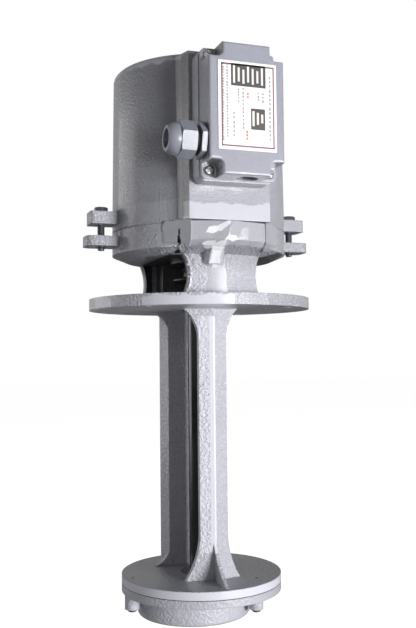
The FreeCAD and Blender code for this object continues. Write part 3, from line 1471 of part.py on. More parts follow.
def check_and_export():
    """Stops on a failed object or shape, then writes one file for each piece."""
    DOC.recompute()
    for item in DOC.Objects:
        if "Invalid" in item.State or "Error" in item.State:
            raise RuntimeError(f"{item.Label}: {item.State}")
    bodies = [item for item in DOC.Objects if item.TypeId == "PartDesign::Body"]
    for body in bodies:
        if body.Shape.isNull() or not body.Shape.isValid() or not body.Shape.Solids:
            raise RuntimeError(f"{body.Label}: shape is not sound")
    for body in bodies:
        body.Shape.exportStep(f"parts/{body.Label}.step")
    print(len(bodies), "pieces,", sum(len(body.Shape.Solids) for body in bodies), "solids")


fill_sheet()
motor_housing()
stator()
rotor_core()
pump_column()
casing()
shaft()
rotor_small_parts()
impeller()
bearing(
    "lower", "lower_bearing_bore", "lower_bearing_radius", "lower_bearing_width",
    "lower_ball_radius", "lower_bearing_level", LOWER_BALLS,
)
bearing(
    "upper", "upper_bearing_bore", "upper_bearing_radius", "upper_bearing_width",
    "upper_ball_radius", "upper_bearing_level", UPPER_BALLS,
)
bearing_fittings()
terminal_box()
box_seals()
terminal_lid()
nameplate()
terminals()
cable_gland()
outside_screws()
check_and_export()
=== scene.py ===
import json
import math
import bmesh
import bpy
from mathutils import Matrix, Vector, noise as lumps


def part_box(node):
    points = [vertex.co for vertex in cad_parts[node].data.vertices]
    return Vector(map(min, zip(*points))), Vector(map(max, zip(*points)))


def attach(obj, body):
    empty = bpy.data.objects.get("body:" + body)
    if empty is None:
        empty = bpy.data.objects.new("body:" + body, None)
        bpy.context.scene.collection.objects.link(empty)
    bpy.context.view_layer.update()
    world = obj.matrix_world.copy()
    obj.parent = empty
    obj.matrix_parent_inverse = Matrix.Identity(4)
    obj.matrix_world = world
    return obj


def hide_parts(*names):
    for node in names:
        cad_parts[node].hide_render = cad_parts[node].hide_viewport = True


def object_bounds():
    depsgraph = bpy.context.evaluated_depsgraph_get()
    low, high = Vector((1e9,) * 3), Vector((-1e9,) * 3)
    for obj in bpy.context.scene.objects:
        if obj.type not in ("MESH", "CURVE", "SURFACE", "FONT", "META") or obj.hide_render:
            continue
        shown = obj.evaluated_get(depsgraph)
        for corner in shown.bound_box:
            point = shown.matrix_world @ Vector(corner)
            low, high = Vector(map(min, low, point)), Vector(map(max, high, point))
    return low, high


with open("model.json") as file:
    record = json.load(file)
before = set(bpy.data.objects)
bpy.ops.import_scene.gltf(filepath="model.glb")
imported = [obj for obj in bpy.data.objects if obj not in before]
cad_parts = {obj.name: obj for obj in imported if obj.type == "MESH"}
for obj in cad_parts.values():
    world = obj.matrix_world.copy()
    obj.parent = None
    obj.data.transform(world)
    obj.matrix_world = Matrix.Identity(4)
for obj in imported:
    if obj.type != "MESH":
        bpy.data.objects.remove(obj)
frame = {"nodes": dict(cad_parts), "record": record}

CAD_BOX = [list(corner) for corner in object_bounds()]

# Camera, in metres and degrees, before the front is turned to the viewer's right.
EYE = Vector((0.00296, -0.70115, -0.0377))
PITCH = 2.85
ROLL = 0.55
YAW = -0.36
FRONT_TURN = 19.0
FOCAL_LENGTH_PX = 850
LONG_SIDE_PX = 628
SENSOR_MM = 36

# Finishes, as linear colours.
PAINT = (0.44, 0.445, 0.495)
# The housing's paint is the column's paint made darker, as painted shade.
HOUSING_PAINT_IN_SHADE = (0.31, 0.315, 0.355)
# The flecks' paint is lighter, partly as bare ground metal and partly as painted highlight.
BARE_AND_HIGHLIT_PAINT = (0.72, 0.725, 0.76)
# The box's paint is the same paint made darker, as painted shade.
BOX_PAINT_IN_SHADE = (0.27, 0.275, 0.325)
DARK_STEEL = (0.11, 0.12, 0.14)
ZINC = (0.50, 0.50, 0.50)
# The shaft's steel is dark, partly for its own dark finish and partly as painted shade between the legs.
SHAFT_STEEL_DARK_AND_SHADED = (0.05, 0.05, 0.053)
GLAND_GREY = (0.22, 0.23, 0.275)
RUBBER = (0.012, 0.012, 0.012)
COPPER = (0.52, 0.20, 0.09)
BRASS = (0.62, 0.44, 0.18)
SHEET_STEEL = (0.16, 0.165, 0.175)
CAST_ALUMINIUM = (0.50, 0.51, 0.53)
BRONZE = (0.50, 0.34, 0.16)
BALL_STEEL = (0.60, 0.60, 0.61)
FIBRE = (0.05, 0.045, 0.04)
BOARD = (0.02, 0.018, 0.016)
PLATE_WHITE = (0.82, 0.81, 0.80)
FLOOR_WHITE = (0.80, 0.79, 0.78)
PRINT_COLOURS = {
    "print_dark": (0.07, 0.06, 0.058),
    "print_border": (0.20, 0.06, 0.10),
    "print_red": (0.62, 0.16, 0.15),
    "print_grey": (0.34, 0.33, 0.35),
    "print_light": (0.70, 0.69, 0.68),
}

MM = 0.001

# Where the screws and the gland sit, in metres and degrees round the shaft axis.
CASING_SCREW_SPOTS = ((0.0584, 182.0), (0.0495, 311.0), (0.052, 60.0))
CASING_SCREW_SEAT = -0.2355
LID_SCREW_SPOT = (0.0233, 0.0421)
LID_SCREW_SEAT = -0.0935
BOX_LEVEL = 0.1376
GLAND_SPOT = (-0.098, 0.1156)
GLAND_THREAD_START = -0.0337

# Screws and bolts, in millimetres.
CLAMP_BOLT = {"width": 10.0, "height": 4.0, "shank": 3.0, "length": 30.5, "thread_from": 6.0}
CASING_SCREW = {"radius": 3.6, "height": 2.4, "shank": 2.0, "length": 23.5, "crossed": False}
LID_SCREW = {"radius": 3.6, "height": 2.4, "shank": 2.0, "length": 13.0, "crossed": True}

# The gland's bare thread, in millimetres.
GLAND_THREAD = {"radius": 10.3, "start": 0.1, "end": 2.9, "pitch": 1.0, "depth": 0.55}
GLAND_THREAD_CORE = 9.62

# The plate's print, as shares of the plate: left, top, right and bottom, and lines across and down.
PRINT_BORDER = (0.055, 0.03, 0.96, 0.965)
BORDER_LINE = (0.0218, 0.017)
UPPER_PANEL = (0.22, 0.027, 0.815, 0.28)
LOWER_PANEL = (0.555, 0.52, 0.80, 0.76)
BAR_WIDTH = 0.031
INK_THICKNESS = 0.00004

# Columns of small bars: ink, distance across, start and end down, and how many bars.
PRINT_COLUMNS = (
    ("print_grey", 0.07, 0.035, 0.915, 27),
    ("print_grey", 0.14, 0.035, 0.875, 25),
    ("print_grey", 0.87, 0.135, 0.895, 15),
    ("print_grey", 0.33, 0.305, 0.475, 5),
    ("print_grey", 0.41, 0.295, 0.775, 11),
    ("print_grey", 0.25, 0.575, 0.875, 6),
    ("print_red", 0.49, 0.345, 0.425, 2),
    ("print_red", 0.47, 0.775, 0.895, 3),
    ("print_grey", 0.67, 0.335, 0.435, 3),
    ("print_grey", 0.75, 0.335, 0.455, 3),
)

# The brow's mesh and border, in millimetres across from the shaft axis and up from the flange's underside.
BROW_LEFT = -47.0
BROW_BOTTOM = 31.0
BROW_PITCH = (0.5, 0.495)
BROW_COUNTS = (188, 67)
BROW_SIDES = (-46.5, 46.0)
BROW_TOP = 64.2
BROW_FOOT = 42.5
BROW_LEFT_FOOT = 40.6
BROW_LEFT_FOOT_END = -29
BROW_BACK = -40

# The low dome that the brow's flat cuts touch, in millimetres, and the ridge down to its nose.
DOME_CENTRE = (-2, 57)
DOME_HALF = (36, 13)
DOME_FALL = (1.7, 1.5)
DOME_HEIGHT = 1.8
RIDGE_FOOT = (-8, 44)
RIDGE_LEAN = 0.5
RIDGE_HEIGHT = 1.9
RIDGE_HALF = 10

# The brow's sloping flanks and its nose, in millimetres.
FLANK_START = 29.5
FLANK_CORNER = (31, -70.6)
FLANK_SLOPE = 1.03
FLANK_FOOT = 48
FLANK_FOOT_SLOPE = 1.3
NOSE_SIDES = (-13.2, -3.4)
NOSE_MIDDLE = -8.0
NOSE_BOTTOM = 31.6
NOSE_TOP = 44
NOSE_FLARE = 3.5
NOSE_SLOPE = 1.5

# The brow's flat cuts, bright ground flecks and tear: points across and up, in millimetres.
BROW_CUTS = (
    (-41, 50), (-40, 61), (-31, 57), (-24, 48), (-20, 61), (-13, 53), (-4, 62), (-1, 47), (5, 55), (13, 62),
    (15, 48), (23, 56), (30, 47), (34, 60), (43, 52),
)
BROW_FLECKS = (
    [(-19.9, 53.5), (-17.2, 58.5), (-10.1, 59.5), (-2.7, 63.5), (-2.0, 60.5), (-9.2, 54.5), (-13.7, 53.5)],
    [(-6.5, 48.6), (-2.7, 52.5), (4.1, 51.4), (7.2, 49.4), (1.1, 47.6)],
    [(-21.6, 45.8), (-19.9, 47.4), (-12.0, 48.6), (-10.3, 45.0), (-11.1, 42.6), (-15.6, 42.6)],
    [(-35.9, 46.0), (-34.8, 45.0), (-32.8, 40.8), (-33.4, 39.9), (-35.4, 41.9)],
    [
        (-13.0, 43.5), (-11.1, 47.0), (-4.6, 48.7), (-3.7, 46.0),
        (-5.0, 40.5), (-3.6, 31.8), (-13.4, 31.8), (-11.5, 38.0),
    ],
)
BROW_TEAR = [(-36.9, 56.6), (-37.4, 51.1), (-36.7, 47.0), (-37.5, 45.7), (-35.9, 41.9), (-34.5, 39.9)]
TEAR_TOP = 57.0
TEAR_HALF = 0.15
TEAR_WIDENING = 0.065
TEAR_DEPTH = 3.2
# The flecks are painted lighter, partly as bare ground metal and partly as painted highlight; the tear is
# painted black, as painted shade.
BROW_FINISHES = {"brow_skin": "column_paint", "brow_bare_and_highlit": "bare_and_highlit_paint", "brow_tear_shade": "rubber_black"}

# The ragged edge of the front arm, in millimetres.
TORN_BOTTOM = 8.6
TORN_STEP = 0.6
TORN_ROWS = 60
TORN_SEARCH = (-31.5, -20)
TORN_BACK = -45

# Lamps in the viewer's frame (right, away and up), in metres and watts.
LAMPS = {
    "key": {"start": (1.12, -1.23, -0.12), "aim": (0.0, 0.0, -0.08), "size": (0.6, 0.3), "power": 38.0},
    "left": {"start": (-1.25, 0.45, 0.1), "aim": (0.0, 0.0, 0.0), "size": (0.9, 0.9), "power": 7.5},
    "flash": {"start": (0.0, -1.15, 0.0), "aim": (0.0, 0.0, -0.02), "size": (0.12, 0.8), "power": 1.1},
}
ROOM_IN_REFLECTIONS = 0.45
ROOM_AS_LIGHT = 0.04
FLOOR_GLOW = 0.92
FLOOR_HALF = 6.0
FLOOR_GAP = 0.0002


def feed(tree, socket, value):
    """Links a socket, or sets it."""
    if isinstance(value, bpy.types.NodeSocket):
        tree.links.new(value, socket)
    else:
        socket.default_value = value


def add(tree, kind, inputs=None, **settings):
    """A node with its settings and inputs."""
    made = tree.nodes.new(kind)
    for name, value in settings.items():
        setattr(made, name, value)
    for name, value in (inputs or {}).items():
        feed(tree, made.inputs[name], value)
    return made


def new_material(name, **constants):
    """A material whose shader has these constant inputs."""
    material = bpy.data.materials.new(name)
    material.use_nodes = True
    tree = material.node_tree
    shader = tree.nodes["Principled BSDF"]
    for key, value in constants.items():
        shader.inputs[key.replace("_", " ")].default_value = value
    return material, tree, shader


def spot(tree):
    """Where on the piece the shaded point is, in metres."""
    return add(tree, "ShaderNodeTexCoord").outputs["Object"]


def noise(tree, place, scale, detail=3.0, roughness=0.55):
    """Even noise from 0 to 1."""
    settings = {"Vector": place, "Scale": scale, "Detail": detail, "Roughness": roughness}
    return add(tree, "ShaderNodeTexNoise", settings).outputs["Fac"]


def maths(tree, operation, first, second=None):
    """One or two values through a maths node."""
    made = add(tree, "ShaderNodeMath", {0: first}, operation=operation)
    if second is not None:
        feed(tree, made.inputs[1], second)
    return made.outputs[0]


def ramp(tree, value, low, high, out_low=0.0, out_high=1.0):
    """A smooth step from low to high."""
    settings = {"Value": value, "From Min": low, "From Max": high, "To Min": out_low, "To Max": out_high}
    return add(tree, "ShaderNodeMapRange", settings, interpolation_type="SMOOTHSTEP").outputs["Result"]


def mix_colours(tree, factor, first, second):
    """The first colour where the factor is 0, the second where it is 1."""
    made = add(tree, "ShaderNodeMix", data_type="RGBA")
    feed(tree, made.inputs["Factor"], factor)
    for name, colour in (("A", first), ("B", second)):
        socket = [item for item in made.inputs if item.name == name and item.type == "RGBA"][0]
        feed(tree, socket, colour if isinstance(colour, bpy.types.NodeSocket) else (*colour, 1))
    return [item for item in made.outputs if item.type == "RGBA"][0]


def shade(colour, factor):
    """The colour, lighter or darker."""
    return tuple(min(channel * factor, 1) for channel in colour)


def tint(tree, factor, colour, dark, light):
    """The colour at two strengths, mixed by the factor."""
    return mix_colours(tree, factor, shade(colour, dark), shade(colour, light))


def inside(tree, place, low, high, soft=0.0004):
    """1 inside a box of the piece's own space, 0 outside."""
    parts = add(tree, "ShaderNodeSeparateXYZ", {0: place}).outputs
    total = None
    for part, start, end in zip(parts, low, high):
        for edge, sign in ((start, 1), (end, -1)):
            step = ramp(tree, part, edge - soft * sign, edge + soft * sign)
            total = step if total is None else maths(tree, "MULTIPLY", total, step)
    return total


def edges_worn_and_highlit(tree, radius, low=0.02, high=0.16):
    """1 on sharp outer and inner edges, where paint is thin and rubbed and where highlights are painted."""
    actual = add(tree, "ShaderNodeNewGeometry").outputs["Normal"]
    pair = {0: rounding(tree, radius), 1: actual}
    dot = add(tree, "ShaderNodeVectorMath", pair, operation="DOT_PRODUCT").outputs["Value"]
    return ramp(tree, maths(tree, "SUBTRACT", 1.0, dot), low, high)


def bump(tree, height, strength, distance, under=None):
    """A bumped normal, on top of another one where that is given."""
    inputs = {"Height": height, "Strength": strength, "Distance": distance}
    if under is not None:
        inputs["Normal"] = under
    return add(tree, "ShaderNodeBump", inputs).outputs["Normal"]


def rounding(tree, radius):
    """A normal that rounds the piece's edges."""
    return add(tree, "ShaderNodeBevel", {"Radius": radius}, samples=6).outputs["Normal"]


def wavy(tree, place, scale, amount):
    """The place, pushed about by noise, so that a mask gets a hand-made border."""
    kind = "ShaderNodeVectorMath"
    settings = {"Vector": place, "Scale": scale, "Detail": 3.0}
    pushed = add(tree, "ShaderNodeTexNoise", settings).outputs["Color"]
    centred = add(tree, kind, {0: pushed, 1: (0.5, 0.5, 0.5)}, operation="SUBTRACT").outputs[0]
    scaled = add(tree, kind, {0: centred, "Scale": amount}, operation="SCALE").outputs[0]
    return add(tree, kind, {0: place, 1: scaled}, operation="ADD").outputs[0]


def patch(low, high, ground=0.0, pale=0.0, painted_shade=0.0, ragged=False):
    """A box of a casting's skin: how ground it is, how much paler it is painted (bare ground metal and
    painted highlight), how much painted shade it has, and whether its border is ragged.
    """
    return {"low": low, "high": high, "ground": ground, "pale": pale, "painted_shade": painted_shade, "ragged": ragged}


def strongest(tree, masks, quality):
    """How strong one quality of the patches is at each point, or None if no patch has it."""
    total = None
    for one, mask in masks:
        if one[quality] > 0:
            share = maths(tree, "MULTIPLY", mask, one[quality])
            total = share if total is None else maths(tree, "MAXIMUM", total, share)
    return total


def cast_skin(tree, pebbles, fine, broad, ground, depth):
    """The normal of a cast skin: pebbles of uneven height, flattened where it was ground."""
    height = maths(tree, "ADD", ramp(tree, pebbles, 0.36, 0.66), maths(tree, "MULTIPLY", fine, 0.35))
    amount = maths(tree, "MULTIPLY", ramp(tree, broad, 0.2, 0.75, 0.55, 1.0), 0.85)
    if ground is not None:
        left = maths(tree, "SUBTRACT", 1.0, ground)
        amount = maths(tree, "MULTIPLY", amount, ramp(tree, left, 0.0, 1.0, 0.05, 1.0))
    return bump(tree, height, amount, depth, rounding(tree, 0.0009))


def cast_paint(name, colour, patches, grain, depth, rough=0.34, painted_top_shade=None):
    """Semi-gloss paint over a cast skin, with patches that were ground smooth, patches painted paler partly
    as bare ground metal and partly as painted highlight, patches darkened as painted shade, and where given
    an upper part darkened as painted shade.
    """
    material, tree, shader = new_material(name, Metallic=0.0, Coat_Weight=0.3, Coat_Roughness=0.16)
    place = spot(tree)
    border = wavy(tree, place, 90.0, 0.009)
    pebbles = noise(tree, place, grain, 2.5, 0.5)
    fine = noise(tree, place, grain * 3.1, 2.0, 0.5)
    broad = noise(tree, place, 26.0, 3.0, 0.6)
    masks = []
    for one in patches:
        where = border if one["ragged"] else place
        masks.append((one, inside(tree, where, one["low"], one["high"])))
    ground = strongest(tree, masks, "ground")
    pale = strongest(tree, masks, "pale")
    painted_shade = strongest(tree, masks, "painted_shade")
    feed(tree, shader.inputs["Normal"], cast_skin(tree, pebbles, fine, broad, ground, depth))
    tone = tint(tree, broad, colour, 0.86, 1.14)
    # The pebbles' pits are painted darker, as painted shade.
    tone = mix_colours(tree, ramp(tree, pebbles, 0.30, 0.46, 0.25, 0.0), tone, shade(colour, 0.62))
    # The edges are painted lighter, as rubbed paint and painted highlight, in patches.
    patchy = ramp(tree, noise(tree, place, 190.0), 0.42, 0.62)
    wear_and_highlight = maths(tree, "MULTIPLY", edges_worn_and_highlit(tree, 0.0007), patchy)
    tone = mix_colours(tree, maths(tree, "MULTIPLY", wear_and_highlight, 0.45), tone, shade(colour, 1.7))
    # Pale patches are painted lighter, partly as bare ground metal and partly as painted highlight.
    if pale is not None:
        tone = mix_colours(tree, pale, tone, shade(colour, 1.6))
    # Patches of painted shade are darkened.
    if painted_shade is not None:
        tone = mix_colours(tree, painted_shade, tone, shade(colour, 0.1))
    # The upper part is painted darker, as painted shade.
    if painted_top_shade is not None:
        start, end, share = painted_top_shade
        level = add(tree, "ShaderNodeSeparateXYZ", {0: place}).outputs["Z"]
        tone = mix_colours(tree, ramp(tree, level, start, end, 0.0, share), tone, (0.0, 0.0, 0.0))
    feed(tree, shader.inputs["Base Color"], tone)
    feed(tree, shader.inputs["Roughness"], ramp(tree, fine, 0.3, 0.7, rough - 0.07, rough + 0.1))
    return material


def smooth_paint(name, colour, rough=0.3):
    """The finer paint of the die-cast terminal box, with a painted highlight along its edges."""
    material, tree, shader = new_material(name, Metallic=0.0, Coat_Weight=0.6, Coat_Roughness=0.1)
    place = spot(tree)
    skin = noise(tree, place, 900.0, 3.0, 0.6)
    broad = noise(tree, place, 30.0, 3.0, 0.6)
    feed(tree, shader.inputs["Normal"], bump(tree, skin, 0.35, 0.0001, rounding(tree, 0.0022)))
    tone = tint(tree, broad, colour, 0.92, 1.08)
    # The edges are painted lighter, as a painted highlight, in patches.
    patchy = ramp(tree, noise(tree, place, 160.0), 0.1, 0.5)
    wear_and_highlight = maths(tree, "MULTIPLY", edges_worn_and_highlit(tree, 0.0014), patchy)
    tone = mix_colours(tree, maths(tree, "MULTIPLY", wear_and_highlight, 0.9), tone, shade(colour, 3.0))
    feed(tree, shader.inputs["Base Color"], tone)
    feed(tree, shader.inputs["Roughness"], ramp(tree, skin, 0.3, 0.7, rough - 0.05, rough + 0.1))
    return material


def turned_metal(name, colour, rough=0.28, lines=1400.0):
    """Turned steel with fine tool marks round its upright axis."""
    material, tree, shader = new_material(name, Metallic=1.0)
    place = spot(tree)
    squeezed = {0: place, 1: (0.02, 0.02, 1.0)}
    stretched = add(tree, "ShaderNodeVectorMath", squeezed, operation="MULTIPLY").outputs["Vector"]
    marks = noise(tree, stretched, lines, 4.0, 0.7)
    stains = noise(tree, place, 70.0, 4.0, 0.65)
    feed(tree, shader.inputs["Normal"], bump(tree, marks, 0.25, 0.00006, rounding(tree, 0.0004)))
    feed(tree, shader.inputs["Base Color"], tint(tree, stains, colour, 0.8, 1.12))
    feed(tree, shader.inputs["Roughness"], ramp(tree, stains, 0.3, 0.7, rough - 0.06, rough + 0.12))
    return material


def plated_metal(name, colour, rough=0.35, metallic=0.9):
    """Plated or cast metal with a slightly uneven skin."""
    material, tree, shader = new_material(name, Metallic=metallic)
    place = spot(tree)
    skin = noise(tree, place, 1500.0, 3.0, 0.6)
    patches = noise(tree, place, 220.0, 3.0, 0.6)
    feed(tree, shader.inputs["Normal"], bump(tree, skin, 0.3, 0.00008, rounding(tree, 0.0003)))
    feed(tree, shader.inputs["Base Color"], tint(tree, patches, colour, 0.75, 1.2))
    feed(tree, shader.inputs["Roughness"], ramp(tree, patches, 0.3, 0.7, rough - 0.08, rough + 0.12))
    return material


def moulded(name, colour, rough=0.42, grain=1300.0, depth=0.00006):
    """Moulded plastic or rubber."""
    material, tree, shader = new_material(name, Metallic=0.0)
    place = spot(tree)
    skin = noise(tree, place, grain, 2.0, 0.5)
    broad = noise(tree, place, 60.0, 2.0, 0.5)
    feed(tree, shader.inputs["Normal"], bump(tree, skin, 0.4, depth, rounding(tree, 0.0006)))
    feed(tree, shader.inputs["Base Color"], tint(tree, broad, colour, 0.92, 1.08))
    feed(tree, shader.inputs["Roughness"], ramp(tree, skin, 0.3, 0.7, rough - 0.06, rough + 0.08))
    return material


def laminated(name, colour):
    """A stack of thin sheets, seen as fine lines round the core."""
    material, tree, shader = new_material(name, Metallic=0.8)
    place = spot(tree)
    height = add(tree, "ShaderNodeSeparateXYZ", {0: place}).outputs["Z"]
    sheets = maths(tree, "PINGPONG", height, 0.00025)
    line = ramp(tree, sheets, 0.0, 0.00008)
    feed(tree, shader.inputs["Normal"], bump(tree, line, 0.6, 0.00008))
    feed(tree, shader.inputs["Base Color"], mix_colours(tree, line, shade(colour, 0.4), colour))
    feed(tree, shader.inputs["Roughness"], ramp(tree, noise(tree, place, 300.0), 0.3, 0.7, 0.35, 0.55))
    return material


def wound_copper(name, colour):
    """Enamelled wire: fine turns with a varnish gloss."""
    material, tree, shader = new_material(name, Metallic=0.7, Coat_Weight=0.6)
    place = spot(tree)
    turns = add(
        tree, "ShaderNodeTexWave", {"Vector": place, "Scale": 380.0, "Distortion": 2.5, "Detail": 2.0},
        wave_type="RINGS", rings_direction="Z",
    ).outputs["Fac"]
    feed(tree, shader.inputs["Normal"], bump(tree, turns, 0.9, 0.0004))
    feed(tree, shader.inputs["Base Color"], tint(tree, turns, colour, 0.5, 1.1))
    feed(tree, shader.inputs["Roughness"], ramp(tree, turns, 0.0, 1.0, 0.45, 0.28))
    return material


# Patches of the housing: the pad's foot, ground and painted paler partly as bare ground metal and partly as
# painted sheen; the bell's top edge, painted paler as a painted highlight; its left flank and the pad's left
# side, darkened as painted shade.
HOUSING_PATCHES = (
    patch((-0.0340, -0.080, 0.060), (0.0340, -0.068, 0.0765), ground=1.0, pale=0.6, ragged=True),
    patch((-0.080, -0.080, 0.1868), (0.080, 0.080, 0.200), ground=0.3, pale=0.9, ragged=True),
    patch((-0.078, -0.068, 0.080), (-0.034, -0.012, 0.186), painted_shade=0.2, ragged=True),
    patch((-0.0350, -0.0743, 0.066), (-0.0295, -0.050, 0.195), painted_shade=0.5),
)

# Patches of the brow, its nose, the flange, the front arm and the inside of the neck: the brow, the nose and
# the flange's front rim are ground and painted paler, partly as bare ground metal and partly as painted
# sheen; the arm's left side and the flange's left rim are painted paler as a painted highlight; the flange's
# right part and the inside of the neck are darkened as painted shade.
BRACKET_PATCHES = (
    patch((-0.048, -0.084, 0.0455), (0.048, -0.050, 0.0650), ground=1.0, pale=0.1, ragged=True),
    patch((-0.013, -0.082, 0.030), (-0.002, -0.060, 0.0475), ground=1.0, pale=0.6, ragged=True),
    patch((-0.065, -0.100, -0.001), (-0.003, -0.060, 0.0072), ground=1.0, pale=0.5, ragged=True),
    patch((0.024, -0.095, -0.001), (0.100, 0.030, 0.0095), painted_shade=0.22, ragged=True),
    patch((-0.031, -0.066, 0.0090), (-0.0130, -0.048, 0.0420), pale=0.35, ragged=True),
    patch((-0.100, -0.045, -0.001), (-0.0825, 0.040, 0.0095), ground=0.3, pale=0.8, ragged=True),
    patch((-0.0126, -0.064, 0.009), (0.0013, -0.0565, 0.030), ground=1.0, ragged=True),
    patch((-0.040, -0.048, 0.0085), (0.060, 0.044, 0.0440), painted_shade=0.92),
)

# Patches of the front leg's ridge and side, the base disc's side, the casing and the disc's top: the ridge
# and the disc's side are ground and painted paler, partly as bare ground metal and partly as painted sheen;
# the leg's side is painted paler as a painted highlight; the disc's top is darkened as painted shade.
LEG_PATCHES = (
    patch((-0.0034, -0.041, -0.190), (0.0010, -0.0335, -0.006), ground=1.0, pale=0.7),
    patch((-0.0115, -0.041, -0.190), (-0.0034, -0.030, -0.006), pale=0.5),
    patch((-0.070, -0.070, -0.2186), (0.070, 0.070, -0.2120), ground=1.0, pale=0.6),
    patch((-0.080, -0.080, -0.2450), (0.080, 0.080, -0.2190), ground=0.5),
    patch((-0.070, -0.070, -0.2119), (0.070, 0.070, -0.2110), painted_shade=0.22),
)
COLUMN_PATCHES = BRACKET_PATCHES + LEG_PATCHES

# The heights between which the column's upper part is painted darker as painted shade, in metres, and by how
# much.
BRACKET_SHADE = (0.022, 0.040, 0.26)

MATERIALS = {
    "housing_paint": cast_paint("housing_paint", HOUSING_PAINT_IN_SHADE, HOUSING_PATCHES, 560.0, 0.00045),
    "column_paint": cast_paint("column_paint", PAINT, COLUMN_PATCHES, 470.0, 0.0009, 0.34, BRACKET_SHADE),
    "box_paint": smooth_paint("box_paint", BOX_PAINT_IN_SHADE),
    "shaft_steel": turned_metal("shaft_steel", SHAFT_STEEL_DARK_AND_SHADED, 0.17),
    "bolt_steel": plated_metal("bolt_steel", DARK_STEEL, 0.4, 0.7),
    "screw_steel": plated_metal("screw_steel", ZINC, 0.3),
    "bearing_steel": turned_metal("bearing_steel", BALL_STEEL, 0.14, 2200.0),
    "cage_steel": plated_metal("cage_steel", ZINC, 0.38),
    "lamination": laminated("lamination", SHEET_STEEL),
    "copper": wound_copper("copper", COPPER),
    "rotor_cast": plated_metal("rotor_cast", CAST_ALUMINIUM, 0.42),
    "impeller_metal": plated_metal("impeller_metal", BRONZE, 0.36),
    "rubber_black": moulded("rubber_black", RUBBER, 0.55),
    "gasket_fibre": moulded("gasket_fibre", FIBRE, 0.75, 700.0, 0.00012),
    "gland_plastic": moulded("gland_plastic", GLAND_GREY, 0.34, 900.0, 0.00003),
    "board_plastic": moulded("board_plastic", BOARD, 0.4),
    "terminal_brass": plated_metal("terminal_brass", BRASS, 0.3),
    "plate_white": moulded("plate_white", PLATE_WHITE, 0.3, 600.0, 0.00002),
    "bare_and_highlit_paint": smooth_paint("bare_and_highlit_paint", BARE_AND_HIGHLIT_PAINT, 0.26),
}


def dress_frame():
    """Every CAD node gets the material of its slot."""
    slots = {part["node"]: part["material_slot"] for part in frame["record"]["subparts"]}
    for name, piece in frame["nodes"].items():
        piece.data.materials.clear()
        piece.data.materials.append(MATERIALS[slots[name]])


def from_mesh_code(name, made, material, body="stand", smooth=True):
    """A piece that moves with a body and takes its finish from a slot."""
    mesh = bpy.data.meshes.new(name)
    bmesh.ops.remove_doubles(made, verts=made.verts, dist=0.000002)
    bmesh.ops.recalc_face_normals(made, faces=made.faces)
    made.to_mesh(mesh)
    made.free()
    mesh.materials.append(material)
    for face in mesh.polygons:
        face.use_smooth = smooth
    thing = bpy.data.objects.new(name, mesh)
    bpy.context.collection.objects.link(thing)
    if smooth:
        mesh.set_sharp_from_angle(angle=math.radians(35))
    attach(thing, body)
    return thing


def rings(made, frame_matrix, rows, segments):
    """Skins rows of (radius, height) pairs or functions of the angle, given in millimetres."""
    loops = []
    for row in rows:
        loop = []
        for index in range(segments):
            angle = 2 * math.pi * index / segments
            radius, height = row(angle) if callable(row) else row
            point = Vector((radius * math.cos(angle), radius * math.sin(angle), height)) * MM
            loop.append(made.verts.new(frame_matrix @ point))
        loops.append(loop)
    for first, second in zip(loops, loops[1:]):
        for index in range(segments):
            after = (index + 1) % segments
            made.faces.new((first[index], first[after], second[after], second[index]))
    return loops


def thread_rows(radius, start, end, pitch, depth):
    """The rows of a threaded length, from start to end."""
    rows = []
    level = start
    step = pitch / 2 if end > start else -pitch / 2
    while (end - level) * step > 0:
        rows.append((radius, level))
        rows.append((radius - depth, level + step))
        level += 2 * step
    rows.append((radius - depth, end))
    return rows


def hexagonal_head(made, frame_matrix, width, height, shank, length, thread_from):
    """A chamfered hexagonal head on a threaded shank that points the other way."""
    rim = width / 2 * 0.96

    def corner(angle):
        """How far out the hexagon's side lies at this angle."""
        folded = (angle + math.pi / 6) % (math.pi / 3) - math.pi / 6
        return width / 2 / math.cos(folded)

    rows = [
        (0.001, height - 0.3),
        (rim - 0.9, height - 0.3),
        (rim - 0.4, height),
        (rim, height),
        lambda angle: (corner(angle), height - (corner(angle) - rim) * 0.6),
        lambda angle: (corner(angle), 0.0),
        (shank, 0.0),
        (shank, -thread_from),
    ]
    rows += thread_rows(shank, -thread_from, -length + 0.6, 1.0, 0.42)
    rows += [(shank - 0.6, -length), (0.001, -length)]
    rings(made, frame_matrix, rows, 48)


def pan_head(made, frame_matrix, radius, height, shank, length, crossed=True):
    """A pan head with a cross or a straight recess, on a plain shank that points the other way."""
    segments = 72

    def surface(share):
        """A row of the head's face at this share of its radius, sunk where the recess is."""
        def row(angle):
            reach = radius * share
            x, y = abs(reach * math.cos(angle)), abs(reach * math.sin(angle))
            dome = height * (1 - 0.42 * share ** 5)
            arm = radius * 0.62
            groove = radius * 0.15
            cut = 0.0
            if y < groove and x < (arm if crossed else radius * 1.1):
                cut = 1.0
            if crossed and x < groove and y < arm:
                cut = 1.0
            return reach, dome - cut * height * 0.5
        return row

    rows = [surface(max(step, 0.02) / 26) for step in range(27)]
    rows += [(radius, 0.0), (shank, 0.0), (shank, -length), (0.001, -length)]
    rings(made, frame_matrix, rows, segments)


def standing(origin, ahead):
    """The frame of a piece at this place whose own z axis points the given way."""
    turn = Vector(ahead).to_track_quat("Z", "Y").to_matrix().to_4x4()
    return Matrix.Translation(Vector(origin)) @ turn


def make_clamp_bolts():
    """The two hexagonal bolts that clamp the housing to the bracket."""
    low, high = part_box("housing_bolts")
    across = high[0] - CLAMP_BOLT["width"] / 2 * MM
    seat = high[2] - CLAMP_BOLT["height"] * MM
    made = bmesh.new()
    for side in (-1, 1):
        hexagonal_head(made, standing((side * across, 0, seat), (0, 0, 1)), **CLAMP_BOLT)
    bolts = from_mesh_code("clamp_bolts", made, MATERIALS["bolt_steel"])
    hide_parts("housing_bolts")


